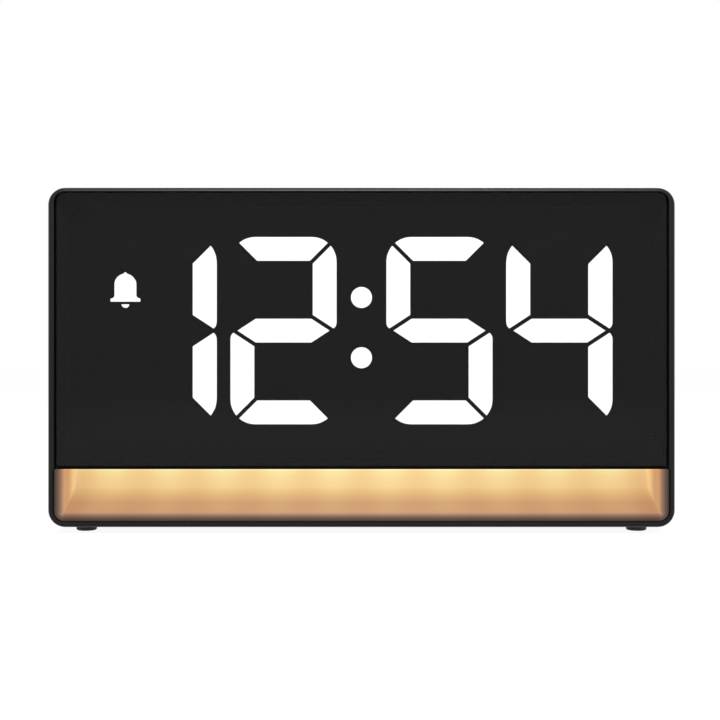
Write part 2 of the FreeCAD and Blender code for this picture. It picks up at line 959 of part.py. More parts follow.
def display_board():
    """The board behind the segment frame, with its four screw holes."""
    board = plate_y(-display_board_half_width, display_board_half_width,
                    frame_bottom, frame_top, board_corner_radius, display_board_front, display_board_back)
    holes = [rod_y(x, z, board_screw_radius + hole_gap, display_board_front, display_board_back)
             for x, z in display_screw_places()]
    return without(board, holes)


# Light tray and its board

def alcove_floor_at(y):
    """Height of the sloping floor, before its cove."""
    return alcove_floor + (y - lip_front) * math.tan(math.radians(alcove_floor_slope))


def alcove_space():
    """The open space of the alcove: a sloping floor that curves up into the back wall."""
    slope = math.radians(alcove_floor_slope)
    reach = alcove_cove_radius * math.tan((math.radians(90) - slope) / 2)
    corner_z = alcove_floor_at(alcove_back)
    low = (alcove_back - reach * math.cos(slope), corner_z - reach * math.sin(slope))
    high = (alcove_back, corner_z + reach)
    centre = (alcove_back - alcove_cove_radius, high[1])
    start = (front, alcove_floor)
    steps = [
        ((lip_front, alcove_floor),),
        (low,),
        (arc_middle(centre, alcove_cove_radius, low, high), high),
        ((alcove_back, tray_top),),
        ((front, tray_top),),
        (start,),
    ]
    space = prism_x(start, steps, -alcove_half_width, alcove_half_width)
    narrow = alcove_half_width - alcove_side_draft
    start = (-alcove_half_width, front)
    steps = [
        ((alcove_half_width, front),),
        ((narrow, alcove_back),),
        ((-narrow, alcove_back),),
        (start,),
    ]
    sides = Part.Face(outline(at_z(alcove_floor), start, steps))
    return space.common(sides.extrude(Vector(0, 0, tray_top - alcove_floor)))


def alcove_mouth_edges(tray):
    """The edges at the front that lead from the lip into the alcove: two sides and the floor."""
    return [edge for edge in edges_in_plane(tray, "Y", lip_front)
            if abs(edge.CenterOfMass.x) < alcove_half_width + IN_PLANE
            and edge.CenterOfMass.z > alcove_floor - IN_PLANE
            and edge.Length > lip_inner_round]


def tray_boss_places():
    """The two screws that hold the light board on the tray."""
    y = tray_back + board_boss_radius / 2
    x = tray_boss_led_count * mood_led_pitch / 2
    return [(-x, y), (x, y)]


def light_tray():
    """The glowing tray: rounded lip, side walls, coved back and the ribs that it stands on."""
    start, steps = round_rectangle(-lip_half_width, lip_half_width,
                                   lip_bottom, tray_top + lip_corner_radius,
                                   lip_corner_radius, lip_corner_radius)
    lip = Part.Face(outline(at_y(lip_front), start, steps))
    lip = lip.extrude(Vector(0, bulkhead_front - lip_front, 0))
    lip = lip.makeFillet(lip_outer_round, edges_in_plane(lip, "Y", lip_front))
    lip = lip.common(block(-half_width, half_width, front, bulkhead_front, base, strip_top))

    drop = tray_wall / math.cos(math.radians(alcove_floor_slope))
    low_front = alcove_floor_at(bulkhead_front) - drop
    low_back = alcove_floor_at(tray_back) - drop
    start = (bulkhead_front, low_front)
    steps = [
        ((tray_back, low_back),),
        ((tray_back, tray_top),),
        ((tray_front_wall_end, tray_top),),
        ((tray_front_wall_end, strip_top),),
        ((bulkhead_front, strip_top),),
        (start,),
    ]
    body = prism_x(start, steps, -tray_half_width, tray_half_width)
    body = body.common(plate_y(-tray_half_width, tray_half_width,
                               inner_floor, tray_top + inner_corner_radius,
                               inner_corner_radius, bulkhead_front, tray_back))

    rib_start = (bulkhead_front, inner_floor)
    rib_steps = [
        ((alcove_back, inner_floor),),
        ((alcove_back, alcove_floor_at(alcove_back)),),
        ((bulkhead_front, alcove_floor_at(bulkhead_front)),),
        (rib_start,),
    ]
    ribs = []
    reach = tray_half_width - inner_corner_radius - tray_rib_thickness / 2
    for i in range(tray_rib_count):
        x = -reach + 2 * reach * i / (tray_rib_count - 1)
        ribs.append(prism_x(rib_start, rib_steps, x - tray_rib_thickness / 2, x + tray_rib_thickness / 2))
    bosses = [rod_z(x, y, board_boss_radius, tray_top - tray_boss_length, tray_top)
              for x, y in tray_boss_places()]
    tray = joined([lip, body] + ribs + bosses)
    screw_reach = board_screw_length - small_board_thickness + pilot_run_out
    pilots = [rod_z(x, y, board_screw_radius + thread_gap, tray_top - screw_reach, tray_top)
              for x, y in tray_boss_places()]
    tray = without(tray, [alcove_space()] + pilots)
    return tray.makeFillet(lip_inner_round, alcove_mouth_edges(tray))


def light_board():
    """The strip board over the alcove."""
    board = plate_z(-tray_half_width + touch_gap, tray_half_width - touch_gap,
                    light_board_front, light_board_back, board_corner_radius,
                    light_board_bottom, light_board_top)
    holes = [rod_z(x, y, board_screw_radius + hole_gap, light_board_bottom, light_board_top)
             for x, y in tray_boss_places()]
    return without(board, holes)


def mood_leds():
    """The row of warm lamps that shine down the alcove's back wall."""
    y = alcove_back - mood_led_from_back_wall
    half = mood_led_size / 2
    lamps = []
    for i in range(mood_led_count):
        x = (i - (mood_led_count - 1) / 2) * mood_led_pitch
        lamps.append(block(x - half, x + half, y - half, y + half,
                           light_board_bottom - mood_led_height, light_board_bottom))
    return Part.makeCompound(lamps)


def light_link_pins():
    """Bent pins from the light board up to the back of the display board."""
    y0 = display_board_back
    y1 = display_board_back + 3 * pin_thickness
    z1 = light_board_top + link_pin_rise
    start = (y1 - pin_thickness, light_board_top)
    steps = [
        ((y1, light_board_top),),
        ((y1, z1),),
        ((y0, z1),),
        ((y0, z1 - pin_thickness),),
        ((y1 - pin_thickness, z1 - pin_thickness),),
        (start,),
    ]
    return link_row(start, steps)


def switch_link_pins():
    """Bent pins from the top board over to the back of the display board."""
    y0 = display_board_back
    y1 = top_key_centre_y - top_board_width / 2 + 2 * pin_thickness
    z1 = top_board_top + 2 * pin_thickness
    start = (y0, z1 - pin_thickness)
    steps = [
        ((y1 - pin_thickness, z1 - pin_thickness),),
        ((y1 - pin_thickness, top_board_top),),
        ((y1, top_board_top),),
        ((y1, z1),),
        ((y0, z1),),
        (start,),
    ]
    return link_row(start, steps)


def link_row(start, steps):
    """A row of bent pins with one side view."""
    pins = []
    for i in range(link_pin_count):
        x = (i - (link_pin_count - 1) / 2) * link_pin_pitch
        pins.append(prism_x(start, steps, x - pin_thickness / 2, x + pin_thickness / 2))
    return Part.makeCompound(pins)


# Main board and its components

def main_post_places():
    """The four posts of the rear cover that carry the main board."""
    return [(x, z) for x in (-main_post_x, main_post_x) for z in (main_board_low, main_board_high)]


def main_board():
    """The board with the controller, switches and sockets."""
    margin = main_board_margin
    board = plate_y(-main_post_x - margin, main_post_x + margin,
                    main_board_low - margin, main_board_high + margin,
                    board_corner_radius, main_board_front, main_board_back)
    holes = [rod_y(x, z, board_screw_radius + hole_gap, main_board_front, main_board_back)
             for x, z in main_post_places()]
    return without(board, holes)


def flat_chip(x, z, board_face, side):
    """A flat chip with two rows of bent leads. side is -1 towards the front and 1 towards the back."""
    seat = board_face + side * chip_lead_thickness
    outer = board_face + side * chip_height
    body = block(x - chip_length / 2, x + chip_length / 2, min(seat, outer), max(seat, outer),
                 z - chip_width / 2, z + chip_width / 2)
    waist = board_face + side * chip_height / 2
    leads = []
    for i in range(chip_lead_count):
        lead_x = x + (i - (chip_lead_count - 1) / 2) * chip_lead_pitch
        for row in (-1, 1):
            near = z + row * chip_width / 2
            knee = near + row * chip_lead_reach / 2
            far = near + row * chip_lead_reach
            leads.append(chip_lead(lead_x, near, knee, far, board_face, waist, side))
    return joined([body] + leads)


def chip_lead(x, near, knee, far, board_face, waist, side):
    """One lead: out of the body, down to the board and along it."""
    step = side * chip_lead_thickness
    start = (waist, near)
    steps = [
        ((waist, knee),),
        ((board_face + step, knee),),
        ((board_face + step, far),),
        ((board_face, far),),
        ((board_face, knee - math.copysign(chip_lead_thickness, knee - near)),),
        ((waist - step, knee - math.copysign(chip_lead_thickness, knee - near)),),
        ((waist - step, near),),
        (start,),
    ]
    return prism_x(start, steps, x - chip_lead_width / 2, x + chip_lead_width / 2)


def quartz_crystal():
    """The tuning crystal's can, lying beside the controller on the front of the main board."""
    end = crystal_x + crystal_length
    can = rod_x(main_board_front - crystal_radius, digit_centre - controller_chip_drop, crystal_radius,
                crystal_x, end)
    return can.makeFillet(crystal_radius / 3, edges_in_plane(can, "X", end))


def capacitors():
    """Two electrolytic capacitors that stand on the front of the main board."""
    crown = main_board_front - capacitor_height
    cans = []
    for x in (capacitor_x, capacitor_x + capacitor_spacing):
        can = rod_y(x, digit_centre - capacitor_drop, capacitor_radius, crown, main_board_front)
        cans.append(can.makeFillet(capacitor_radius / 8, edges_in_plane(can, "Y", crown)))
    return Part.makeCompound(cans)


def buzzer():
    """The round sounder behind the sound slots."""
    z = base + sound_rise
    face = main_board_back + buzzer_height
    case = rod_y(sound_x, z, buzzer_radius, main_board_back, face)
    return case.cut(rod_y(sound_x, z, buzzer_hole_radius, face - buzzer_hole_depth, face))


def cable_socket(x, z, board_face, side):
    """A low socket for the flat cable."""
    outer = board_face + side * cable_socket_height
    return block(x - cable_socket_length / 2, x + cable_socket_length / 2,
                 min(board_face, outer), max(board_face, outer),
                 z - cable_socket_width / 2, z + cable_socket_width / 2)


def cable_sockets():
    """The sockets at the two ends of the flat cable."""
    return Part.makeCompound([
        cable_socket(cable_x, digit_centre, display_board_back, 1),
        cable_socket(cable_x, digit_centre - cable_drop, main_board_front, -1),
    ])


def flat_cable():
    """The flat cable, in one S-bend from the display board's socket down to the main board's."""
    z = digit_centre
    half = cable_thickness / 2
    r = cable_bend_radius
    y0 = display_board_back + cable_socket_height
    y1 = main_board_front - cable_socket_height
    ym = (y0 + y1) / 2
    low = z - cable_drop
    upper = (ym - r, z - r)
    lower = (ym + r, low + r)
    diagonal = math.sqrt(0.5)
    start = (y0, z + half)
    steps = [
        ((ym - r, z + half),),
        ((upper[0] + (r + half) * diagonal, upper[1] + (r + half) * diagonal), (ym + half, z - r)),
        ((ym + half, low + r),),
        ((lower[0] - (r - half) * diagonal, lower[1] - (r - half) * diagonal), (ym + r, low + half)),
        ((y1, low + half),),
        ((y1, low - half),),
        ((ym + r, low - half),),
        ((lower[0] - (r + half) * diagonal, lower[1] - (r + half) * diagonal), (ym - half, low + r)),
        ((ym - half, z - r),),
        ((upper[0] + (r - half) * diagonal, upper[1] + (r - half) * diagonal), (ym - r, z - half)),
        ((y0, z - half),),
        (start,),
    ]
    return prism_x(start, steps, cable_x - cable_width / 2, cable_x + cable_width / 2)


def dc_socket():
    """The power socket: a square body on the board and a round nose in the cover's hole."""
    z = base + socket_rise
    half = socket_body_size / 2
    shoulder = cover_inner - socket_shoulder
    nose_end = back - socket_nose_sink
    body = block(socket_x - half, socket_x + half, main_board_back, shoulder, z - half, z + half)
    nose = rod_y(socket_x, z, socket_nose_radius, shoulder, nose_end)
    bore = rod_y(socket_x, z, socket_bore_radius, main_board_back + socket_floor, nose_end)
    return joined([body, nose]).cut(bore)


def dc_socket_pin():
    """The pin in the middle of the power socket, with a round tip."""
    z = base + socket_rise
    tip = back - socket_nose_sink - socket_pin_sink
    pin = rod_y(socket_x, z, socket_pin_radius, main_board_back + socket_floor, tip)
    return pin.makeFillet(socket_pin_radius / 2, edges_in_plane(pin, "Y", tip))


# Push switches and keys

def set_keys():
    """The four setting keys on the back: name and place along X."""
    names = ("time_key", "alarm_key", "minus_key", "plus_key")
    return {name: first_set_key_x + i * set_key_pitch for i, name in enumerate(names)}


def back_switch(x):
    """A push switch on the main board, pressed from the back."""
    half = switch_size / 2
    face = main_board_back + switch_height
    body = block(x - half, x + half, main_board_back, face, bay_z - half, bay_z + half)
    return body.cut(rod_y(x, bay_z, plunger_radius + plunger_gap, face - switch_bore_depth, face))


def back_plunger(x):
    """The plunger between a setting key and its switch."""
    face = main_board_back + switch_height
    return rod_y(x, bay_z, plunger_radius, face - switch_bore_depth + 2 * key_travel,
                 face + set_plunger_rise)


def set_key(x):
    """A setting key: an oblong cap through the cover and a flange behind it."""
    half_l, half_w = set_key_length / 2, set_key_width / 2
    foot_y = main_board_back + switch_height + set_plunger_rise
    flange_y = bay_inner - key_rest_gap
    crown = back - set_key_sink
    cap = plate_y(x - half_l, x + half_l, bay_z - half_w, bay_z + half_w,
                  set_key_corner_radius, foot_y, crown)
    cap = cap.makeFillet(set_key_edge_round, edges_in_plane(cap, "Y", crown))
    flange = plate_y(x - half_l - key_flange_width, x + half_l + key_flange_width,
                     bay_z - half_w - key_flange_width, bay_z + half_w + key_flange_width,
                     set_key_corner_radius, foot_y, flange_y)
    return joined([cap, flange])


def top_switch_places():
    """The push switches on the top board: two under the snooze bar, one under the light key."""
    return [-snooze_switch_offset, snooze_switch_offset, mood_key_x]


def top_switch(x):
    """A push switch on the top board, pressed from above."""
    half = switch_size / 2
    y = top_key_centre_y
    body = block(x - half, x + half, y - half, y + half, top_board_top, top_switch_top)
    return body.cut(rod_z(x, y, plunger_radius + plunger_gap,
                          top_switch_top - switch_bore_depth, top_switch_top))


def top_plunger(x):
    """The plunger between a top key and its switch."""
    return rod_z(x, top_key_centre_y, plunger_radius,
                 top_switch_top - switch_bore_depth + 2 * key_travel, top_flange_bottom)


def top_key(x, length, width, radius):
    """A key in the top wall: a crowned cap and a flange under the wall."""
    half_l, half_w = length / 2, width / 2
    y = top_key_centre_y
    crown = top + snooze_rise
    cap = plate_z(x - half_l, x + half_l, y - half_w, y + half_w, radius, top_flange_bottom, crown)
    cap = cap.makeFillet(top_key_edge_round, edges_in_plane(cap, "Z", crown))
    rim = key_flange_width
    flange = plate_z(x - half_l - rim, x + half_l + rim, y - half_w - rim, y + half_w + rim,
                     radius, top_flange_bottom, top_flange_top)
    return joined([cap, flange])


def top_key_hole(x, length, width, radius):
    """The hole in the top wall for one key."""
    half_l, half_w = length / 2 + key_hole_gap, width / 2 + key_hole_gap
    y = top_key_centre_y
    return plate_z(x - half_l, x + half_l, y - half_w, y + half_w, radius + key_hole_gap, inner_top, top)


def top_board():
    """The narrow board under the top keys."""
    x0 = -top_boss_offset - top_board_end_margin
    x1 = mood_key_x + switch_size / 2 + top_board_end_margin
    y0 = top_key_centre_y - top_board_width / 2
    y1 = top_key_centre_y + top_board_width / 2
    board = plate_z(x0, x1, y0, y1, board_corner_radius, top_board_bottom, top_board_top)
    holes = [rod_z(x, y, board_screw_radius + hole_gap, top_board_bottom, top_board_top)
             for x, y in top_board_screw_places()]
    return without(board, holes)


# Alarm slide switch

def slide_switch():
    """The switch body on the main board, with a slot for its lever."""
    half_l, half_w = slide_switch_length / 2, slide_switch_width / 2
    middle = slider_x + slider_travel / 2
    face = main_board_back + slide_switch_height
    lever = slide_lever_size / 2
    body = block(middle - half_l, middle + half_l, main_board_back, face, bay_z - half_w, bay_z + half_w)
    slot = block(slider_x - lever - plunger_gap, slider_x + slider_travel + lever + plunger_gap,
                 face - slide_lever_sink - plunger_gap, face,
                 bay_z - lever - plunger_gap, bay_z + lever + plunger_gap)
    return body.cut(slot)


def slide_switch_lever():
    """The lever that the slider carries along."""
    face = main_board_back + slide_switch_height
    lever = slide_lever_size / 2
    return block(slider_x - lever, slider_x + lever, face - slide_lever_sink,
                 slider_flange_bottom() + slide_lever_rise, bay_z - lever, bay_z + lever)


def slider_flange_bottom():
    """Front side of the slider's flange."""
    return bay_inner - slider_running_gap - slider_flange_thickness


def alarm_slider():
    """The slider: a grooved knob on a flange that keeps the slot covered at both ends."""
    half_l, half_w = slider_knob_length / 2, slider_knob_width / 2
    crown = back - slider_sink
    cover_l = half_l + slider_travel + slider_flange_overlap
    cover_w = half_w + slider_flange_overlap
    flange_y = slider_flange_bottom()
    knob = plate_y(slider_x - half_l, slider_x + half_l, bay_z - half_w, bay_z + half_w,
                   set_key_edge_round, flange_y, crown)
    flange = block(slider_x - cover_l, slider_x + cover_l, flange_y, flange_y + slider_flange_thickness,
                   bay_z - cover_w, bay_z + cover_w)
    cuts = []
    for i in range(slider_groove_count):
        x = slider_x + (i - (slider_groove_count - 1) / 2) * 2 * slider_groove_width
        cuts.append(block(x - slider_groove_width / 2, x + slider_groove_width / 2,
                          crown - slider_groove_depth, crown, bay_z - half_w, bay_z + half_w))
    lever = slide_lever_size / 2 + touch_gap
    cuts.append(block(slider_x - lever, slider_x + lever, flange_y,
                      flange_y + slide_lever_rise + touch_gap, bay_z - lever, bay_z + lever))
    return without(joined([knob, flange]), cuts)


def slider_slot():
    """The slot in the cover that the knob moves along."""
    half_l = slider_knob_length / 2 + key_hole_gap
    half_w = slider_knob_width / 2 + key_hole_gap
    return plate_y(slider_x - half_l, slider_x + slider_travel + half_l, bay_z - half_w, bay_z + half_w,
                   set_key_edge_round + key_hole_gap, bay_inner, bay_floor)


# Rear cover, cell and door

cell_z = base + cell_rise
door_inner = back - door_thickness
door_seat_inner = door_inner - door_seat_thickness
door_low = cell_z - door_below_cell
door_high = cell_z + door_above_cell
door_screw_z = door_high - door_screw_drop
cell_outer = door_inner - cell_door_gap
cell_inner = cell_outer - cell_thickness
well_bottom = cell_inner - contact_thickness
door_boss_end = door_inner - door_boss_height
door_boss_seat = door_boss_end - key_rest_gap


def cover_shell():
    """The cover's outline: outer rim, plate and the spigot that enters the housing."""
    start, steps = round_rectangle(-half_width, half_width, base, top,
                                   case_corner_radius, case_corner_radius)
    tub = Part.Face(outline(at_y(seam + seam_gap), start, steps))
    tub = tub.extrude(Vector(0, back - seam - seam_gap, 0))
    tub = tub.makeFillet(cover_edge_round, edges_in_plane(tub, "Y", back))
    hollow = plate_y(-inner_half_width, inner_half_width, inner_floor, inner_top,
                     inner_corner_radius, seam + seam_gap, cover_inner)
    tub = tub.cut(hollow)
    spigot_half = inner_half_width - spigot_gap
    spigot = plate_y(-spigot_half, spigot_half, inner_floor + spigot_gap, inner_top - spigot_gap,
                     inner_corner_radius, seam - spigot_depth, cover_inner)
    inner = plate_y(-spigot_half + spigot_wall, spigot_half - spigot_wall,
                    inner_floor + spigot_gap + spigot_wall, inner_top - spigot_gap - spigot_wall,
                    inner_corner_radius - spigot_wall / 2, seam - spigot_depth, cover_inner)
    ring = spigot.cut(inner)
    link = plate_y(-inner_half_width, inner_half_width, inner_floor, inner_top,
                   inner_corner_radius, seam + seam_gap, cover_inner).cut(inner)
    return joined([tub, ring, link])


def cover_pads():
    """Thicker places on the inside: key bay, door seat, cell well and screw posts."""
    grow = bay_wall
    pads = [plate_y(bay_centre_x - bay_length / 2 - grow, bay_centre_x + bay_length / 2 + grow,
                    bay_z - bay_height / 2 - grow, bay_z + bay_height / 2 + grow,
                    bay_corner_radius, bay_inner, cover_inner)]
    pads.append(plate_y(cell_x - door_width / 2 - grow, cell_x + door_width / 2 + grow,
                        door_low - tongue_reach - grow, door_high + grow,
                        door_corner_radius, door_seat_inner, cover_inner))
    pads.append(rod_y(cell_x, cell_z, cell_radius + cell_gap + well_wall,
                      well_bottom - well_floor, door_seat_inner))
    screw_end = door_boss_seat - door_screw_length - pilot_run_out
    pads.append(rod_y(cell_x, door_screw_z, board_boss_radius + door_screw_bore_gap,
                      screw_end, door_seat_inner))
    for x, z in case_screw_places():
        pads.append(rod_y(x, z, case_post_radius, cover_inner - case_post_length, cover_inner))
    for x, z in main_post_places():
        pads.append(rod_y(x, z, board_boss_radius, main_board_back, cover_inner))
    return pads


def screw_cuts():
    """Counterbores and holes of the case screws, and pilots of the main board's posts."""
    cuts = []
    post_end = cover_inner - case_post_length
    for x, z in case_screw_places():
        cuts.append(rod_y(x, z, case_screw_head_radius + counterbore_gap, post_end + case_post_floor, back))
        cuts.append(rod_y(x, z, case_screw_radius + hole_gap, post_end, back))
    reach = board_screw_length - board_thickness + pilot_run_out
    for x, z in main_post_places():
        cuts.append(rod_y(x, z, board_screw_radius + thread_gap, main_board_back, main_board_back + reach))
    return cuts


def bay_cuts():
    """The recessed key bay, the key holes and the slider's slot."""
    cuts = [plate_y(bay_centre_x - bay_length / 2, bay_centre_x + bay_length / 2,
                    bay_z - bay_height / 2, bay_z + bay_height / 2, bay_corner_radius, bay_floor, back)]
    half_l = set_key_length / 2 + key_hole_gap
    half_w = set_key_width / 2 + key_hole_gap
    for x in set_keys().values():
        cuts.append(plate_y(x - half_l, x + half_l, bay_z - half_w, bay_z + half_w,
                            set_key_corner_radius + key_hole_gap, bay_inner, back))
    cuts.append(slider_slot())
    return cuts


def sound_cuts():
    """The row of slots in front of the buzzer, with round ends."""
    cuts = []
    for i in range(sound_slot_count):
        z = base + sound_rise + (i - (sound_slot_count - 1) / 2) * sound_slot_pitch
        cuts.append(plate_y(sound_x - sound_slot_length / 2, sound_x + sound_slot_length / 2,
                            z - sound_slot_width / 2, z + sound_slot_width / 2,
                            sound_slot_width / 2 - touch_gap, cover_inner, back))
    return cuts


def tongue_places():
    """The two tongues at the door's foot."""
    return [cell_x - tongue_offset, cell_x + tongue_offset]


def door_cuts():
    """The door's rebate, the cell's well, the slots of the tongues and the contacts, the screw's seat."""
    half = door_width / 2 + door_gap
    cuts = [plate_y(cell_x - half, cell_x + half, door_low - door_gap, door_high + door_gap,
                    door_corner_radius + door_gap, door_inner, back)]
    cuts.append(rod_y(cell_x, cell_z, cell_radius + cell_gap, well_bottom, door_inner))
    for x in tongue_places():
        side = tongue_width / 2 + tongue_gap
        cuts.append(block(x - side, x + side, door_seat_inner, door_inner,
                          door_low - tongue_reach - tongue_gap, door_low + tongue_slot_height))
    cuts.append(rod_y(cell_x, door_screw_z, door_boss_radius + door_boss_gap, door_boss_seat, door_inner))
    cuts.append(rod_y(cell_x, door_screw_z, board_screw_radius + door_screw_bore_gap,
                      door_boss_seat - door_screw_length, door_boss_seat))
    cuts.append(contact_leg(cell_x, touch_gap, well_bottom - well_floor, well_bottom))
    cuts.append(contact_leg(positive_contact_x(), touch_gap, well_bottom - well_floor, door_inner))
    return cuts


def rear_cover():
    """The back of the clock."""
    z = base + socket_rise
    cover = joined([cover_shell()] + cover_pads())
    socket_hole = rod_y(socket_x, z, socket_nose_radius + moulding_gap, cover_inner, back)
    return without(cover, screw_cuts() + bay_cuts() + sound_cuts() + door_cuts() + [socket_hole])


def positive_contact_x():
    """Middle of the upright contact, just outside the cell's edge."""
    return cell_x + cell_radius + touch_gap + contact_thickness / 2


def contact_leg(x, grow, y0, y1):
    """A flat contact leg or, grown a little, the slot that it passes through."""
    half = contact_thickness / 2 + grow
    side = contact_leg_width / 2 + grow
    return block(x - half, x + half, y0, y1, cell_z - side, cell_z + side)


def cell_contact_negative():
    """The spring plate under the cell, with a leg down to the main board."""
    plate = block(cell_x - contact_width / 2, cell_x + contact_width / 2, well_bottom, cell_inner,
                  cell_z - contact_length / 2, cell_z + contact_length / 2)
    return joined([plate, contact_leg(cell_x, 0, main_board_back, cell_inner)])


def cell_contact_positive():
    """The upright strip at the cell's edge, with its leg on the main board."""
    return contact_leg(positive_contact_x(), 0, main_board_back, cell_outer)


def coin_cell():
    """The backup cell."""
    cell = rod_y(cell_x, cell_z, cell_radius, cell_inner, cell_outer)
    return cell.makeFillet(cell_edge_round, edges_in_plane(cell, "Y", cell_outer))


def battery_door():
    """The door over the cell, with two tongues at its foot and a screw seat at its head."""
    half = door_width / 2
    door = plate_y(cell_x - half, cell_x + half, door_low, door_high, door_corner_radius, door_inner, back)
    pieces = [door]
    pieces.append(rod_y(cell_x, cell_z, door_pad_radius, door_inner - door_pad_height, door_inner))
    pieces.append(rod_y(cell_x, door_screw_z, door_boss_radius, door_boss_end, door_inner))
    tongue_outer = door_inner - tongue_gap
    tongue_inner = tongue_outer - tongue_thickness
    for x in tongue_places():
        side = tongue_width / 2
        pieces.append(block(x - side, x + side, tongue_inner, door_inner,
                            door_low, door_low + tongue_root))
        pieces.append(block(x - side, x + side, tongue_inner, tongue_outer,
                            door_low - tongue_reach, door_low + tongue_root))
    door = joined(pieces)
    head_seat = door_boss_end + (door_thickness + door_boss_height) / 3
    cuts = [
        rod_y(cell_x, door_screw_z, board_screw_head_radius + counterbore_gap, head_seat, back),
        rod_y(cell_x, door_screw_z, board_screw_radius + thread_gap, door_boss_end, back),
    ]
    return without(door, cuts)


def door_screw():
    """The captive screw at the head of the door."""
    head_seat = door_boss_end + (door_thickness + door_boss_height) / 3
    return screw_y(cell_x, door_screw_z, head_seat, 1, board_screw_radius, door_screw_length,
                   board_screw_head_radius, board_screw_head_height)


# Screws

def screw_y(x, z, seat, side, radius, length, head_radius, head_height):
    """A pan head screw along Y. side is 1 where its head faces the back and -1 where it faces the front."""
    head_end = seat + side * head_height
    tip = seat - side * length
    head = rod_y(x, z, head_radius, min(seat, head_end), max(seat, head_end))
    head = head.makeFillet(head_height / 3, edges_in_plane(head, "Y", head_end))
    shank = rod_y(x, z, radius, min(seat, tip), max(seat, tip))
    return joined([head, shank])


def screw_z(x, y, seat, side, radius, length, head_radius, head_height):
    """A pan head screw along Z. side is 1 where its head faces up and -1 where it faces down."""
    head_end = seat + side * head_height
    tip = seat - side * length
    head = rod_z(x, y, head_radius, min(seat, head_end), max(seat, head_end))
    head = head.makeFillet(head_height / 3, edges_in_plane(head, "Z", head_end))
    shank = rod_z(x, y, radius, min(seat, tip), max(seat, tip))
    return joined([head, shank])


def case_screws():
    """The four screws that hold cover and housing together."""
    seat = cover_inner - case_post_length + case_post_floor
    return Part.makeCompound([screw_y(x, z, seat, 1, case_screw_radius, case_screw_length,
                                      case_screw_head_radius, case_screw_head_height)
                              for x, z in case_screw_places()])


def board_screws(places, make, seat, side):
    """A set of small board screws."""
    return Part.makeCompound([make(u, v, seat, side, board_screw_radius, board_screw_length,
                                   board_screw_head_radius, board_screw_head_height)
                              for u, v in places])


# All pieces

def main():
    os.makedirs("parts", exist_ok=True)
    lit, dark = display_outlines()
    shapes = {
        "front_housing": front_housing(),
        "display_lens": display_lens(),
        "lens_tape": lens_tape(),
        "segment_frame": segment_frame(),
        "lit_segments": windows(lit + [bell_outline(), clapper_outline()]),
        "dark_segments": windows(dark),
        "display_board": display_board(),
        "display_leds": display_leds(),
        "display_driver_chip": flat_chip(driver_chip_x, digit_centre, display_board_back, 1),
        "light_tray": light_tray(),
        "light_board": light_board(),
        "mood_leds": mood_leds(),
        "light_link_pins": light_link_pins(),
        "switch_link_pins": switch_link_pins(),
        "rear_cover": rear_cover(),
        "main_board": main_board(),
        "controller_chip": flat_chip(controller_chip_x, digit_centre - controller_chip_drop,
                                     main_board_front, -1),
        "quartz_crystal": quartz_crystal(),
        "capacitors": capacitors(),
        "buzzer": buzzer(),
        "dc_socket": dc_socket(),
        "dc_socket_pin": dc_socket_pin(),
        "flat_cable": flat_cable(),
        "cable_sockets": cable_sockets(),
        "key_switches": Part.makeCompound([back_switch(x) for x in set_keys().values()]),
        "top_board": top_board(),
        "top_switches": Part.makeCompound([top_switch(x) for x in top_switch_places()]),
        "snooze_bar": top_key(0, snooze_length, snooze_width, snooze_width / 2),
        "snooze_plungers": Part.makeCompound([top_plunger(-snooze_switch_offset),
                                              top_plunger(snooze_switch_offset)]),
        "mood_light_key": top_key(mood_key_x, mood_key_length, mood_key_width, mood_key_corner_radius),
        "mood_light_plunger": top_plunger(mood_key_x),
        "slide_switch": slide_switch(),
        "slide_switch_lever": slide_switch_lever(),
        "alarm_slider": alarm_slider(),
        "cell_contact_negative": cell_contact_negative(),
        "cell_contact_positive": cell_contact_positive(),
        "coin_cell": coin_cell(),
        "battery_door": battery_door(),
        "door_screw": door_screw(),
        "case_screws": case_screws(),
        "display_screws": board_screws(display_screw_places(), screw_y, display_board_back, 1),
        "main_board_screws": board_screws(main_post_places(), screw_y, main_board_front, -1),
        "top_board_screws": board_screws(top_board_screw_places(), screw_z, top_board_bottom, -1),
        "light_board_screws": board_screws(tray_boss_places(), screw_z, light_board_top, 1),
    }
    for name, x in set_keys().items():
        shapes[name] = set_key(x)
        shapes[name.replace("_key", "_plunger")] = back_plunger(x)
    for name, (x, y) in foot_places().items():
        shapes[name] = foot(x, y)
    for name, shape in shapes.items():
        write(name, shape)


main()
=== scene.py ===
# %% [markdown]
# # Dressing a mood light alarm clock
# The solid model of the clock comes in as a fixed frame: every piece has its real size and
# place in metres. X runs to the right, Y to the back and Z up. This lesson adds the camera, the
# studio, the finishes and the small details that are easier to shape here than as solids.

# %% Load the frame
import math

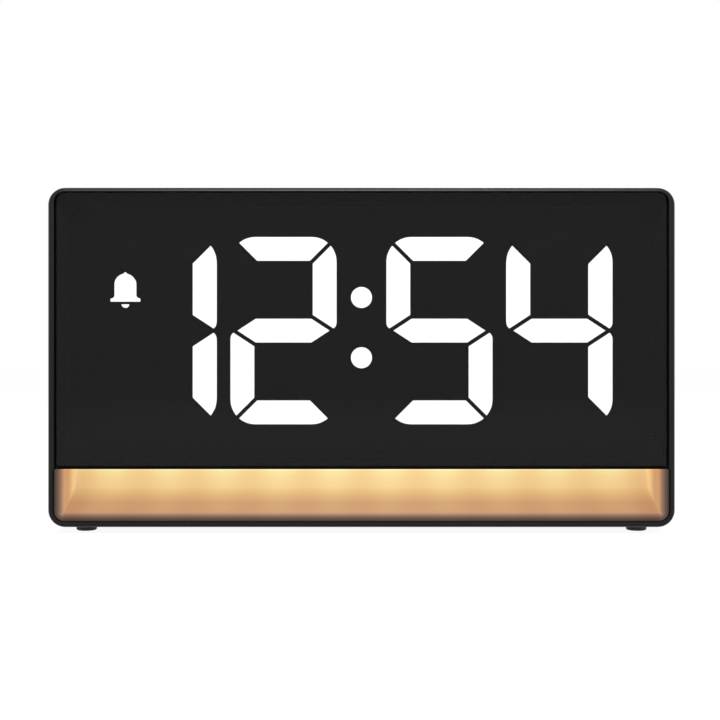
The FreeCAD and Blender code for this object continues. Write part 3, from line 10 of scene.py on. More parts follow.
import bmesh
import bpy
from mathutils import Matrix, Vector


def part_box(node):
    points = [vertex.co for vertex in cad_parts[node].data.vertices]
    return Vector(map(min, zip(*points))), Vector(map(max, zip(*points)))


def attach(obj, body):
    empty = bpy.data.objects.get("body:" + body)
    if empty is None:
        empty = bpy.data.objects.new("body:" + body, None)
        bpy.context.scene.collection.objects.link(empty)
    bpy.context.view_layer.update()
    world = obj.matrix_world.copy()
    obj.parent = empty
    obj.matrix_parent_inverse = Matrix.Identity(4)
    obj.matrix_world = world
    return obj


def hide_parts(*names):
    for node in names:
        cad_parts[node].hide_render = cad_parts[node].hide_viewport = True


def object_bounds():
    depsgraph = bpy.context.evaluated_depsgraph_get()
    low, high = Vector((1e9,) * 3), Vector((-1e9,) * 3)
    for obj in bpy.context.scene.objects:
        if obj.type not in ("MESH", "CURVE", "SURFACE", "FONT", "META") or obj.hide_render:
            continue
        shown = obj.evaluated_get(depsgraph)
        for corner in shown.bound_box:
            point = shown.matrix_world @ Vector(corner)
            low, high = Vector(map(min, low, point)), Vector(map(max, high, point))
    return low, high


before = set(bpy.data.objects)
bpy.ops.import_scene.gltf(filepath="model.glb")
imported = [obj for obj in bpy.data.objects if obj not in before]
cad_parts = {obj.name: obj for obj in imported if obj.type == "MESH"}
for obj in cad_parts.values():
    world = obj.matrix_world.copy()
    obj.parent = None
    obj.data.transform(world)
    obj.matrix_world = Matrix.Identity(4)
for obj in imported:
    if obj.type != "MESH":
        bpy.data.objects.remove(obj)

scene = bpy.context.scene
solid_low, solid_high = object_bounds()
print("nodes:", len(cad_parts), "size:", [round(v, 4) for v in solid_high - solid_low])

# %% [markdown]
# The photograph looks straight at the front from 300 mm away, level with the middle of the
# case. A lens of 62 mm on a 36 mm sensor at that distance gives the depth that the light recess
# shows: its back wall looks narrower than its mouth. No shift and no tilt are needed, so upright
# edges stay upright.

# %% Camera
LENS_MM = 62.22
SENSOR_MM = 36.0
NEAREST_SEEN = 0.01
CAMERA_DISTANCE = 0.300
CAMERA_HEIGHT = 0.04214
CAMERA_SIDE = -0.00036

camera_data = bpy.data.cameras.new("camera")
camera_data.lens = LENS_MM
camera_data.sensor_width = SENSOR_MM
camera_data.clip_start = NEAREST_SEEN
camera = bpy.data.objects.new("camera", camera_data)
camera.location = (CAMERA_SIDE, solid_low.y - CAMERA_DISTANCE, CAMERA_HEIGHT)
camera.rotation_euler = (math.radians(90), 0, 0)
scene.collection.objects.link(camera)
scene.camera = camera
print("camera at", [round(v, 4) for v in camera.location])

# %% [markdown]
# The studio is a wide pale floor under white air. The background turns white because the air has
# the level of white for the camera and for mirrors, while it lights the clock at a lower one. The
# floor adds a little light of its own for the same rays. It then fades into the air at the
# horizon and still keeps a soft shadow. A curved backdrop could do this too, but its bend would
# show in the gloss of the panel.

# %% Helper for floor and air
WHITE = (1, 1, 1, 1)


def seen_by_camera_or_mirror(nodes, links):
    """1 for rays from the camera, a mirror or through a clear piece, 0 for rays that only light."""
    path = nodes.new("ShaderNodeLightPath")
    total = path.outputs["Is Camera Ray"]
    for kind in ("Is Glossy Ray", "Is Transmission Ray"):
        higher = nodes.new("ShaderNodeMath")
        higher.operation = "MAXIMUM"
        links.new(total, higher.inputs[0])
        links.new(path.outputs[kind], higher.inputs[1])
        total = higher.outputs[0]
    return total


print("one helper for floor and air")

# %% Floor
FLOOR_SIZE = 12.0
FLOOR_ALBEDO = 0.10
FLOOR_OWN_LIGHT = 0.93

bpy.ops.object.select_all(action="DESELECT")
bpy.ops.mesh.primitive_plane_add(size=FLOOR_SIZE, location=(0, 0, 0))
floor = bpy.context.object
floor.name = "studio_floor"

floor_material = bpy.data.materials.new("pale_floor")
floor_material.use_nodes = True
nodes, links = floor_material.node_tree.nodes, floor_material.node_tree.links
nodes.clear()
floor_diffuse = nodes.new("ShaderNodeBsdfDiffuse")
floor_diffuse.inputs["Color"].default_value = (*[FLOOR_ALBEDO] * 3, 1)
own_light = nodes.new("ShaderNodeMath")
own_light.operation = "MULTIPLY"
own_light.inputs[1].default_value = FLOOR_OWN_LIGHT
links.new(seen_by_camera_or_mirror(nodes, links), own_light.inputs[0])
floor_glow = nodes.new("ShaderNodeEmission")
floor_glow.inputs["Color"].default_value = WHITE
links.new(own_light.outputs[0], floor_glow.inputs["Strength"])
floor_sum = nodes.new("ShaderNodeAddShader")
links.new(floor_diffuse.outputs[0], floor_sum.inputs[0])
links.new(floor_glow.outputs[0], floor_sum.inputs[1])
floor_out = nodes.new("ShaderNodeOutputMaterial")
links.new(floor_sum.outputs[0], floor_out.inputs["Surface"])
floor.data.materials.append(floor_material)
print("floor", FLOOR_SIZE, "m wide")

# %% Air
AIR_LEVEL = 0.62

world = bpy.data.worlds.new("studio_air")
world.use_nodes = True
nodes, links = world.node_tree.nodes, world.node_tree.links
nodes.clear()
air_level = nodes.new("ShaderNodeMapRange")
air_level.inputs["To Min"].default_value = AIR_LEVEL
air_level.inputs["To Max"].default_value = 1.0
links.new(seen_by_camera_or_mirror(nodes, links), air_level.inputs["Value"])
air = nodes.new("ShaderNodeBackground")
air.inputs["Color"].default_value = WHITE
links.new(air_level.outputs["Result"], air.inputs["Strength"])
world_out = nodes.new("ShaderNodeOutputWorld")
links.new(air.outputs[0], world_out.inputs["Surface"])
scene.world = world
scene.view_settings.view_transform = "Standard"
print("air at", AIR_LEVEL, "of white")

# %% [markdown]
# Four soft square lamps stand round the clock and look at its middle. The one above, in front,
# makes the light line along the top rim. The two at the sides lift the rim's sides a little, and
# the one behind is for views of the back. They are large for their distance, so no hard edge of
# a shadow appears anywhere.


# %% Soft lamps
def soft_lamp(name, place, target, size, watts):
    """A square area lamp that looks from its place at a target."""
    data = bpy.data.lights.new(name, "AREA")
    data.shape = "SQUARE"
    data.size = size
    data.energy = watts
    lamp = bpy.data.objects.new(name, data)
    lamp.location = place
    lamp.rotation_euler = (Vector(target) - Vector(place)).to_track_quat("-Z", "Y").to_euler()
    scene.collection.objects.link(lamp)


clock_middle = (solid_low + solid_high) / 2
soft_lamp("lamp_above", (0.0, -0.66, 0.56), clock_middle, size=0.40, watts=10.0)
soft_lamp("lamp_left", (-0.9, -0.25, 0.20), clock_middle, size=0.5, watts=1.0)
soft_lamp("lamp_right", (0.9, -0.25, 0.20), clock_middle, size=0.5, watts=1.0)
soft_lamp("lamp_behind", (0.35, 0.80, 0.50), clock_middle, size=0.6, watts=5.0)

# %% [markdown]
# Each finish is a small tree of nodes round one Principled shader. What is the same all over is
# set on the shader's own sockets. What varies comes from noise that is read in Object
# coordinates, which stay with the piece from every side and at every pose. The next cell keeps
# the few steps that every finish shares.

# %% Helpers for finishes
# Nearly all values of a noise lie between these two.
NOISE_LOW, NOISE_HIGH = 0.3, 0.7


def grey(level):
    """The same share of red, green and blue."""
    return (level, level, level)


def finish(name, color, roughness, metallic=0.0, specular=0.5):
    """A new material with one Principled shader. Returns the material and its shader."""
    material = bpy.data.materials.new(name)
    material.use_nodes = True
    shader = material.node_tree.nodes["Principled BSDF"]
    shader.inputs["Base Color"].default_value = (*color, 1)
    shader.inputs["Roughness"].default_value = roughness
    shader.inputs["Metallic"].default_value = metallic
    shader.inputs["Specular IOR Level"].default_value = specular
    return material, shader


def noise(material, per_metre, detail=3.0, stretch=(1, 1, 1)):
    """A noise value in Object coordinates. per_metre says how many grains lie along a metre."""
    nodes, links = material.node_tree.nodes, material.node_tree.links
    coordinates = nodes.new("ShaderNodeTexCoord")
    mapping = nodes.new("ShaderNodeMapping")
    mapping.inputs["Scale"].default_value = stretch
    texture = nodes.new("ShaderNodeTexNoise")
    texture.inputs["Scale"].default_value = per_metre
    texture.inputs["Detail"].default_value = detail
    links.new(coordinates.outputs["Object"], mapping.inputs["Vector"])
    links.new(mapping.outputs["Vector"], texture.inputs["Vector"])
    return texture.outputs["Fac"]


def ramp(material, value, stops):
    """Colours along a value. A stop is (position, colour)."""
    node = material.node_tree.nodes.new("ShaderNodeValToRGB")
    elements = node.color_ramp.elements
    while len(elements) < len(stops):
        elements.new(0.5)
    for element, (position, color) in zip(elements, stops):
        element.position = position
        element.color = (*color, 1)
    material.node_tree.links.new(value, node.inputs["Fac"])
    return node.outputs["Color"]


def tint(material, shader, value, stops):
    """Colours the finish along a value."""
    material.node_tree.links.new(ramp(material, value, stops), shader.inputs["Base Color"])


def spread(material, value, low, high, socket):
    """Maps a noise value to the range low..high and feeds it to a socket."""
    node = material.node_tree.nodes.new("ShaderNodeMapRange")
    node.inputs["From Min"].default_value = NOISE_LOW
    node.inputs["From Max"].default_value = NOISE_HIGH
    node.inputs["To Min"].default_value = low
    node.inputs["To Max"].default_value = high
    material.node_tree.links.new(value, node.inputs["Value"])
    material.node_tree.links.new(node.outputs["Result"], socket)


def relief(material, shader, value, depth_mm, strength=1.0):
    """Raises the surface by a value, over a depth in millimetres."""
    node = material.node_tree.nodes.new("ShaderNodeBump")
    node.inputs["Strength"].default_value = strength
    node.inputs["Distance"].default_value = depth_mm / 1000
    material.node_tree.links.new(value, node.inputs["Height"])
    material.node_tree.links.new(node.outputs["Normal"], shader.inputs["Normal"])


def dress(material, *names):
    """Gives solids of the frame this finish."""
    for name in names:
        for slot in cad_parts[name].material_slots:
            slot.material = material


print("helpers ready")

# %% [markdown]
# The case is black plastic from a mould with a fine spark-eroded grain: it breaks highlights up
# into a satin sheen. A flat black would look like a hole, so the colour moves a little and the
# roughness more.

# %% Case plastic
case_plastic, shader = finish("case_plastic", grey(0.005), 0.32, specular=0.16)
grain = noise(case_plastic, 5200, 4.0)
haze = noise(case_plastic, 45, 2.0)
tint(case_plastic, shader, haze, [(NOISE_LOW, grey(0.004)), (NOISE_HIGH, grey(0.006))])
spread(case_plastic, grain, 0.27, 0.37, shader.inputs["Roughness"])
relief(case_plastic, shader, grain, 0.02, 0.35)
dress(case_plastic, "front_housing", "rear_cover", "battery_door")
print("case plastic on 3 solids")

# %% [markdown]
# The lens is smoked acrylic with a hard gloss coat. It hides everything that isn't lit. A smoked
# sheet is made of black plus plain see-through: each of its two faces lets 40 percent of the
# light behind it pass, and its low specular level keeps its front as even and dark as the
# photograph shows it.

# %% Smoked lens
LENS_ALPHA = 0.60
smoked_lens, shader = finish("smoked_lens", (0.004, 0.004, 0.0042), 0.04, specular=0.21)
shader.inputs["Alpha"].default_value = LENS_ALPHA
smears = noise(smoked_lens, 60, 2.0)
spread(smoked_lens, smears, 0.03, 0.07, shader.inputs["Roughness"])
dress(smoked_lens, "display_lens")
print("lens alpha", LENS_ALPHA)

# %% [markdown]
# Behind the lens sits the black reflector block. Its windows are filled with milky resin. The
# lit ones glow white. The lens takes a share of their light twice, once at each of its faces, so
# they are given that much more to start with. The dark ones carry the same resin with a grey
# tint and no light behind it.

# %% Segments and reflector
SEEN_LEVEL = 1.06
CLOUDINESS = 1.03
LIT_LEVEL = SEEN_LEVEL / (1 - LENS_ALPHA) ** 2
lit_resin, shader = finish("lit_resin", grey(0.80), 0.5)
shader.inputs["Emission Color"].default_value = WHITE
cloud = noise(lit_resin, 900, 2.0)
spread(lit_resin, cloud, LIT_LEVEL, LIT_LEVEL * CLOUDINESS, shader.inputs["Emission Strength"])
dress(lit_resin, "lit_segments")

dark_resin, shader = finish("dark_resin", grey(0.006), 0.6, specular=0.08)
cloud = noise(dark_resin, 900, 2.0)
tint(dark_resin, shader, cloud, [(NOISE_LOW, grey(0.005)), (NOISE_HIGH, grey(0.008))])
dress(dark_resin, "dark_segments")

reflector_black, shader = finish("reflector_black", grey(0.002), 0.7, specular=0.03)
cloud = noise(reflector_black, 2500, 3.0)
relief(reflector_black, shader, cloud, 0.02, 0.3)
spread(reflector_black, cloud, 0.6, 0.8, shader.inputs["Roughness"])
dress(reflector_black, "segment_frame")

foam_tape, shader = finish("foam_tape", grey(0.03), 0.8, specular=0.06)
cells = noise(foam_tape, 3000, 3.0)
tint(foam_tape, shader, cells, [(NOISE_LOW, grey(0.027)), (NOISE_HIGH, grey(0.033))])
dress(foam_tape, "lens_tape")
print("lit level", round(LIT_LEVEL, 2))

# %% [markdown]
# The light tray is opal plastic, lit warm from a row of lamps over its back wall. That light is
# painted into the tray's emission: strongest under the lamps, weaker down the cove and along the
# floor, and dying away from gold to brown over the rounded lip, as light soaking through it would.
# The painted light is a value that falls with height, depth and distance from the mouth. It is
# computed from Object coordinates, so it belongs to the tray and not to the camera. Real light
# through opal plastic could be traced instead, but it would stay noisy for a long time and can't
# be carried into an export.

# %% Places in the light tray
tray_low, tray_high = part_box("light_tray")
lamps_low, lamps_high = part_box("mood_leds")
# The lip round the mouth: how wide it is at the sides and at the foot, and how far light soaks in.
LIP_SIDE = 0.00223
LIP_FOOT = 0.0021
LIP_FADE = 0.0022
LIP_FRONT = tray_low.y
MOUTH_HALF_WIDTH = tray_high.x - LIP_SIDE
MOUTH_FOOT = tray_low.z + LIP_FOOT
# Shares along the tray end a little past the mouth. The back wall is lit to just under the lamps.
END_MARGIN = 0.00045
WALL_BEHIND_LAMPS = 0.0011
SHADE_UNDER_LAMPS = 0.00164
TRAY_END = MOUTH_HALF_WIDTH + END_MARGIN
WALL_Y = lamps_high.y + WALL_BEHIND_LAMPS
WALL_TOP = lamps_low.z - SHADE_UNDER_LAMPS
# The ten lamps stand at one pitch.
LAMP_COUNT = 10
LAMP_SIZE = 0.003
LAMP_PITCH = (lamps_high.x - lamps_low.x - LAMP_SIZE) / (LAMP_COUNT - 1)
# The panel's lower edge, and how far a line of sight under it falls with each metre of depth.
PANEL_EDGE_UNDER_TRAY_TOP = 0.0014
PANEL_EDGE_INSET = 0.0005
SIGHT_FALL = 0.088
panel_edge_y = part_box("display_lens")[1].y - PANEL_EDGE_INSET
panel_edge_z = tray_high.z - PANEL_EDGE_UNDER_TRAY_TOP
# The painted highlight, a bright strip under that edge: how far it reaches down from it and up
# behind it.
STRIP_BELOW_EDGE = 0.00034
STRIP_ABOVE_EDGE = 0.00016
strip_foot = panel_edge_z - STRIP_BELOW_EDGE
strip_top = panel_edge_z + STRIP_ABOVE_EDGE
print("lamp pitch", round(LAMP_PITCH * 1000, 2), "mm,",
      "mouth half width", round(MOUTH_HALF_WIDTH * 1000, 2), "mm")


# %% Helpers for sums of places
def math_node(material, operation, first, second=None, third=None):
    """One Math node. A number is set on the socket, and anything else is linked to it."""
    node = material.node_tree.nodes.new("ShaderNodeMath")
    node.operation = operation
    for socket, value in zip(node.inputs, (first, second, third)):
        if value is None:
            continue
        if isinstance(value, (int, float)):
            socket.default_value = value
        else:
            material.node_tree.links.new(value, socket)
    return node.outputs[0]


def places(material):
    """The places x, y and z of a point of the piece."""
    nodes, links = material.node_tree.nodes, material.node_tree.links
    coordinates = nodes.new("ShaderNodeTexCoord")
    parts = nodes.new("ShaderNodeSeparateXYZ")
    links.new(coordinates.outputs["Object"], parts.inputs[0])
    return parts.outputs


def share(material, value, zero_at, one_at):
    """0 where the value is zero_at, 1 where it is one_at, straight between and held outside."""
    node = material.node_tree.nodes.new("ShaderNodeMapRange")
    node.inputs["From Min"].default_value = zero_at
    node.inputs["From Max"].default_value = one_at
    material.node_tree.links.new(value, node.inputs["Value"])
    return node.outputs["Result"]


def mixed(material, blend, factor, first, second):
    """Two colours mixed. A number or a plain colour is set, and anything else is linked."""
    node = material.node_tree.nodes.new("ShaderNodeMix")
    node.data_type = "RGBA"
    node.blend_type = blend
    for name, value in (("Factor", factor), ("A", first), ("B", second)):
        socket = next(s for s in node.inputs if s.name == name and s.enabled)
        if isinstance(value, float):
            socket.default_value = value
        elif isinstance(value, tuple):
            socket.default_value = (*value, 1)
        else:
            material.node_tree.links.new(value, socket)
    return next(s for s in node.outputs if s.enabled)


print("sums of places ready")

# %% [markdown]
# The painted glow is a product of five layers. The first is the painted warm light inside, which
# rises from the floor up the cove to the wall's top. The others are painted shares of it: shade
# between two lamps, shade towards the ends, light dying away over the lip, and a last painted
# highlight, a bright strip close under the panel. Each layer is a ramp along one way through the
# tray, so it can be changed by itself. The warm light has five named shades, from amber on the
# floor to pale yellow close under the lamps.

# %% Painted light inside the tray
FLOOR_SHADE = (0.64, 0.36, 0.18)
COVE_SHADE = (0.77, 0.50, 0.22)
WALL_SHADE = (0.95, 0.68, 0.31)
UPPER_WALL_SHADE = (0.97, 0.74, 0.35)
LAMP_SHADE = (0.97, 0.87, 0.44)
# The opal's own colour is kept near black, so nearly all of the tray's look is the painted light
# set up below.
opal_painted_light, shader = finish("opal_painted_light", (0.010, 0.008, 0.006), 0.45, specular=0.05)
x, y, z = places(opal_painted_light)
across = math_node(opal_painted_light, "ABSOLUTE", x)

# Painted light and shade: the lamps' light is weaker lower down and towards the mouth, and the
# lower of the two shares picks its colour from the ramp.
by_height = share(opal_painted_light, z, MOUTH_FOOT, WALL_TOP)
by_depth = share(opal_painted_light, y, LIP_FRONT, WALL_Y)
deep = ramp(opal_painted_light, by_depth, [(0.0, grey(0.0)), (0.45, grey(0.24)),
                                     (0.85, grey(0.62)), (0.97, grey(1.0))])
level = math_node(opal_painted_light, "MINIMUM", by_height, deep)
painted_inner_light = ramp(opal_painted_light, level, [
    (0.20, FLOOR_SHADE),
    (0.36, COVE_SHADE),
    (0.54, WALL_SHADE),
    (0.80, UPPER_WALL_SHADE),
    (1.00, LAMP_SHADE),
])
print("inner light from floor to wall top")

# %% Painted light and shade along the tray
# Painted shade: a wave along x at the lamps' pitch darkens the light between the lamps, more so
# high on the wall.
phase = math_node(opal_painted_light, "MULTIPLY", x, 2 * math.pi / LAMP_PITCH)
wave = math_node(opal_painted_light, "COSINE", phase)
between = math_node(opal_painted_light, "MULTIPLY_ADD", wave, 0.5, 0.5)
painted_shade_between_lamps = ramp(opal_painted_light, by_height, [
    (0.00, (0.95, 0.93, 0.94)),
    (0.70, (0.95, 0.88, 0.87)),
    (1.00, (0.97, 0.82, 0.75)),
])
painted_lamp_spots = mixed(opal_painted_light, "MIX", between, (1, 1, 1), painted_shade_between_lamps)

# Painted shade: the light grows darker towards the ends of the tray, and is whole again at about
# the mouth's edge.
ends = ramp(opal_painted_light, share(opal_painted_light, across, 0.0, TRAY_END), [
    (0.20, (1.0, 1.0, 1.0)),
    (0.80, (0.94, 0.91, 0.88)),
    (0.91, (0.93, 0.89, 0.86)),
    (0.965, (0.86, 0.79, 0.76)),
    (0.99, (0.87, 0.80, 0.77)),
    (0.993, (1.0, 1.0, 1.0)),
])
print("shares between", LAMP_COUNT, "lamps and towards the ends")

# %% Painted light over the lip and painted highlight under the panel
# Painted light over the lip: it dies away from gold to dark brown with the distance out from the
# mouth.
side_way = math_node(opal_painted_light, "SUBTRACT", across, MOUTH_HALF_WIDTH)
side_way = math_node(opal_painted_light, "MAXIMUM", side_way, 0.0)
foot_way = math_node(opal_painted_light, "SUBTRACT", MOUTH_FOOT, z)
foot_way = math_node(opal_painted_light, "MAXIMUM", foot_way, 0.0)
squares = math_node(opal_painted_light, "MULTIPLY", side_way, side_way)
squares = math_node(opal_painted_light, "MULTIPLY_ADD", foot_way, foot_way, squares)
out_way = math_node(opal_painted_light, "SQRT", squares)
painted_lip_fade = ramp(opal_painted_light, share(opal_painted_light, out_way, 0.0, LIP_FADE), [
    (0.00, (1.0, 1.0, 1.0)),
    (0.15, (0.68, 0.66, 0.76)),
    (0.32, (0.43, 0.44, 0.61)),
    (0.55, (0.22, 0.26, 0.38)),
    (0.78, (0.13, 0.15, 0.24)),
    (1.00, (0.04, 0.05, 0.08)),
])

# Painted highlight: up to nearly twice the light in a thin strip under the panel's edge, which sits
# lower the deeper it lies, along a line of sight under that edge.
behind_edge = math_node(opal_painted_light, "SUBTRACT", y, panel_edge_y)
cut_height = math_node(opal_painted_light, "MULTIPLY_ADD", behind_edge, SIGHT_FALL, z)
painted_strip_under_panel = ramp(opal_painted_light, share(opal_painted_light, cut_height, strip_foot, strip_top), [
    (0.20, (1.0, 1.0, 1.0)),
    (0.50, (1.35, 1.35, 1.35)),
    (1.00, (1.9, 1.7, 1.6)),
])
print("shares over", round(LIP_FADE * 1000, 2), "mm of lip")

# %% Painted glow of the light tray
glow = painted_inner_light
for layer in (painted_lamp_spots, ends, painted_lip_fade, painted_strip_under_panel):
    glow = mixed(opal_painted_light, "MULTIPLY", 1.0, glow, layer)
opal_painted_light.node_tree.links.new(glow, shader.inputs["Emission Color"])
shader.inputs["Emission Strength"].default_value = 1.0
soft = noise(opal_painted_light, 1500, 2.0)
spread(opal_painted_light, soft, 0.4, 0.5, shader.inputs["Roughness"])
dress(opal_painted_light, "light_tray")

warm_lamp, shader = finish("warm_lamp", (0.9, 0.8, 0.5), 0.3)
shader.inputs["Emission Color"].default_value = (1.0, 0.82, 0.45, 1)
speck = noise(warm_lamp, 3000, 2.0)
spread(warm_lamp, speck, 1.4, 1.8, shader.inputs["Emission Strength"])
dress(warm_lamp, "mood_leds")
print("tray glows")

# %% [markdown]
# Small parts next. Rubber feet are matt and a little dusty. Keys and pads have a soft-touch coat,
# a matt lacquer with a fine tooth. The plungers, sockets and switches inside are plain black
# plastic. Most of them only show from the back, from below or when the battery door is open.

# %% Rubber and keys
foot_rubber, shader = finish("foot_rubber", grey(0.012), 0.7, specular=0.4)
dust = noise(foot_rubber, 1800, 4.0)
tint(foot_rubber, shader, dust, [(0.35, grey(0.010)), (0.7, (0.022, 0.022, 0.021))])
relief(foot_rubber, shader, dust, 0.03, 0.3)
spread(foot_rubber, dust, 0.55, 0.8, shader.inputs["Roughness"])
dress(foot_rubber, "foot_front_left", "foot_front_right", "foot_rear_left", "foot_rear_right")

KEY_GREY = (0.028, 0.028, 0.029)


def soft_touch(name):
    """The coat of a key or pad. Returns the material and its shader."""
    material, shader = finish(name, KEY_GREY, 0.55, specular=0.45)
    tooth = noise(material, 3800, 3.0)
    relief(material, shader, tooth, 0.01, 0.3)
    spread(material, tooth, 0.48, 0.62, shader.inputs["Roughness"])
    return material, shader


key_coat, shader = soft_touch("key_coat")
dress(key_coat, "time_key", "alarm_key", "minus_key", "plus_key", "alarm_slider")

inner_plastic, shader = finish("inner_plastic", (0.05, 0.05, 0.052), 0.5)
touch = noise(inner_plastic, 2500, 3.0)
spread(inner_plastic, touch, 0.4, 0.6, shader.inputs["Roughness"])
dress(inner_plastic, "snooze_plungers", "mood_light_plunger", "time_plunger", "alarm_plunger",
      "minus_plunger", "plus_plunger", "slide_switch_lever", "buzzer", "dc_socket",
      "key_switches", "top_switches", "slide_switch", "cable_sockets", "display_driver_chip",
      "controller_chip", "capacitors")
print("rubber, keys and inner plastic done")

# %% [markdown]
# Boards are glass fibre under green solder mask, and their copper tracks stand out a little. A
# brick pattern gives the idea of tracks and fields without drawing a circuit that nobody sees.
# The flat cable is a ribbon of strands side by side, which a wave texture shows as bands.

# %% Boards and cable
solder_mask, shader = finish("solder_mask", (0.012, 0.10, 0.035), 0.3, specular=0.5)
nodes, links = solder_mask.node_tree.nodes, solder_mask.node_tree.links
place = nodes.new("ShaderNodeTexCoord")
tracks = nodes.new("ShaderNodeTexBrick")
tracks.inputs["Scale"].default_value = 180
tracks.inputs["Mortar Size"].default_value = 0.03
tracks.inputs["Color1"].default_value = (0.012, 0.10, 0.035, 1)
tracks.inputs["Color2"].default_value = (0.014, 0.12, 0.045, 1)
tracks.inputs["Mortar"].default_value = (0.03, 0.19, 0.07, 1)
links.new(place.outputs["Object"], tracks.inputs["Vector"])
links.new(tracks.outputs["Color"], shader.inputs["Base Color"])
relief(solder_mask, shader, tracks.outputs["Fac"], 0.03, 0.4)
dress(solder_mask, "display_board", "light_board", "main_board", "top_board")

ribbon, shader = finish("ribbon", (0.42, 0.42, 0.40), 0.45)
nodes, links = ribbon.node_tree.nodes, ribbon.node_tree.links
place = nodes.new("ShaderNodeTexCoord")
strands = nodes.new("ShaderNodeTexWave")
strands.bands_direction = "X"
strands.inputs["Scale"].default_value = 250
links.new(place.outputs["Object"], strands.inputs["Vector"])
tint(ribbon, shader, strands.outputs["Fac"], [(0.0, (0.30, 0.30, 0.29)),
                                              (1.0, (0.50, 0.50, 0.48))])
relief(ribbon, shader, strands.outputs["Fac"], 0.2, 0.6)
dress(ribbon, "flat_cable")
print("boards and cable done")

# %% [markdown]
# Three metals and one clear resin remain. Contacts and pins are plated, the coin cell is brushed
# steel, and the screws are blackened steel whose colour is worn lighter in places. The lamps of
# the digits hide behind the resin, so a plain pale body is enough for them.

# %% Metal
plated_metal, shader = finish("plated_metal", (0.72, 0.69, 0.62), 0.25, metallic=1.0)
scuff = noise(plated_metal, 2200, 3.0)
spread(plated_metal, scuff, 0.18, 0.34, shader.inputs["Roughness"])
dress(plated_metal, "dc_socket_pin", "cell_contact_negative", "cell_contact_positive",
      "light_link_pins", "switch_link_pins", "quartz_crystal")

cell_steel, shader = finish("cell_steel", (0.62, 0.62, 0.60), 0.3, metallic=1.0)
brushed = noise(cell_steel, 900, 4.0, stretch=(6, 1, 1))
spread(cell_steel, brushed, 0.22, 0.42, shader.inputs["Roughness"])
relief(cell_steel, shader, brushed, 0.01, 0.3)
dress(cell_steel, "coin_cell")

black_steel, shader = finish("black_steel", (0.045, 0.045, 0.048), 0.35, metallic=1.0)
worn = noise(black_steel, 1600, 3.0)
tint(black_steel, shader, worn, [(0.35, (0.035, 0.035, 0.037)), (0.75, grey(0.10))])
spread(black_steel, worn, 0.28, 0.45, shader.inputs["Roughness"])
dress(black_steel, "case_screws", "display_screws", "main_board_screws", "top_board_screws",
      "light_board_screws", "door_screw")

lamp_body, shader = finish("lamp_body", (0.75, 0.75, 0.68), 0.35)
speck = noise(lamp_body, 3000, 2.0)
spread(lamp_body, speck, 0.3, 0.45, shader.inputs["Roughness"])
dress(lamp_body, "display_leds")
print("metal and lamp bodies done")

# %% [markdown]
# Now the small pieces that are shaped by hand. Each starts from a cylinder, a cube or a word,
# and is then cut, extruded, inset or bevelled in edit mode. These helpers keep the steps short:
# they open a piece with the right faces or edges selected, and settle a finished piece on the
# body that it rides on.


# %% Helpers for selecting
def select_only(*pieces):
    """Object mode, with nothing but these pieces selected and the first one active."""
    bpy.ops.object.select_all(action="DESELECT")
    for piece in pieces:
        piece.select_set(True)
    bpy.context.view_layer.objects.active = pieces[0]


def edit_faces(piece, wanted):
    """Edit mode with just the faces selected for which wanted(centre, normal) holds."""
    select_only(piece)
    bpy.ops.object.mode_set(mode="EDIT")
    bpy.ops.mesh.select_mode(type="FACE")
    bpy.ops.mesh.select_all(action="DESELECT")
    mesh = bmesh.from_edit_mesh(piece.data)
    for face in mesh.faces:
        face.select_set(wanted(face.calc_center_median(), face.normal))
    bmesh.update_edit_mesh(piece.data)


def edit_edges(piece, wanted):
    """Edit mode with just the edges selected for which wanted(end, other end) holds."""
    select_only(piece)
    bpy.ops.object.mode_set(mode="EDIT")
    bpy.ops.mesh.select_mode(type="EDGE")
    bpy.ops.mesh.select_all(action="DESELECT")
    mesh = bmesh.from_edit_mesh(piece.data)
    for edge in mesh.edges:
        edge.select_set(wanted(edge.verts[0].co, edge.verts[1].co))
    bmesh.update_edit_mesh(piece.data)


def close_edit():
    """Back to object mode, which writes the edited mesh down."""
    bpy.ops.object.mode_set(mode="OBJECT")


print("selecting helpers ready")

# %% Helpers for shaping
SMOOTH_ANGLE = 30
MERGE_WITHIN = 1e-7


def push(x=0.0, y=0.0, z=0.0):
    """Extrudes what is selected along a way."""
    bpy.ops.mesh.extrude_region_move(TRANSFORM_OT_translate={"value": (x, y, z)})


def swell(x, y, z, about=(0, 0, 0)):
    """Scales what is selected about a place."""
    bpy.ops.transform.resize(value=(x, y, z), center_override=about)


def cut_with(piece, cutter):
    """Cuts one piece out of another and removes the cutter."""
    select_only(piece)
    cut = piece.modifiers.new("cut", "BOOLEAN")
    cut.operation = "DIFFERENCE"
    cut.solver = "EXACT"
    cut.object = cutter
    bpy.ops.object.modifier_apply(modifier=cut.name)
    bpy.data.objects.remove(cutter, do_unlink=True)


def settle(piece, name, body, material):
    """Applies the place, smooths, names and dresses the piece, and lets it ride on its body."""
    select_only(piece)
    bpy.ops.object.transform_apply(location=True, rotation=True, scale=True)
    bpy.ops.object.mode_set(mode="EDIT")
    bpy.ops.mesh.select_all(action="SELECT")
    bpy.ops.mesh.remove_doubles(threshold=MERGE_WITHIN)
    bpy.ops.mesh.normals_make_consistent(inside=False)
    close_edit()
    bpy.ops.object.shade_smooth_by_angle(angle=math.radians(SMOOTH_ANGLE))
    piece.name = name
    piece.data.name = name
    piece.data.materials.clear()
    piece.data.materials.append(material)
    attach(piece, body)
    return piece


print("shaping helpers ready")

# %% [markdown]
# The back is closed by four pan-head screws with a cross recess. One screw is modelled upright
# at the origin: a cylinder whose rim is bevelled to a dome, a shank that is extruded out of the
# seat in short steps for the thread, and a recess cut by two tapered wedges. The copies are then
# turned and moved to their holes, each with its own mesh. A true helix would cost far more faces
# for a thread that stays inside its post.

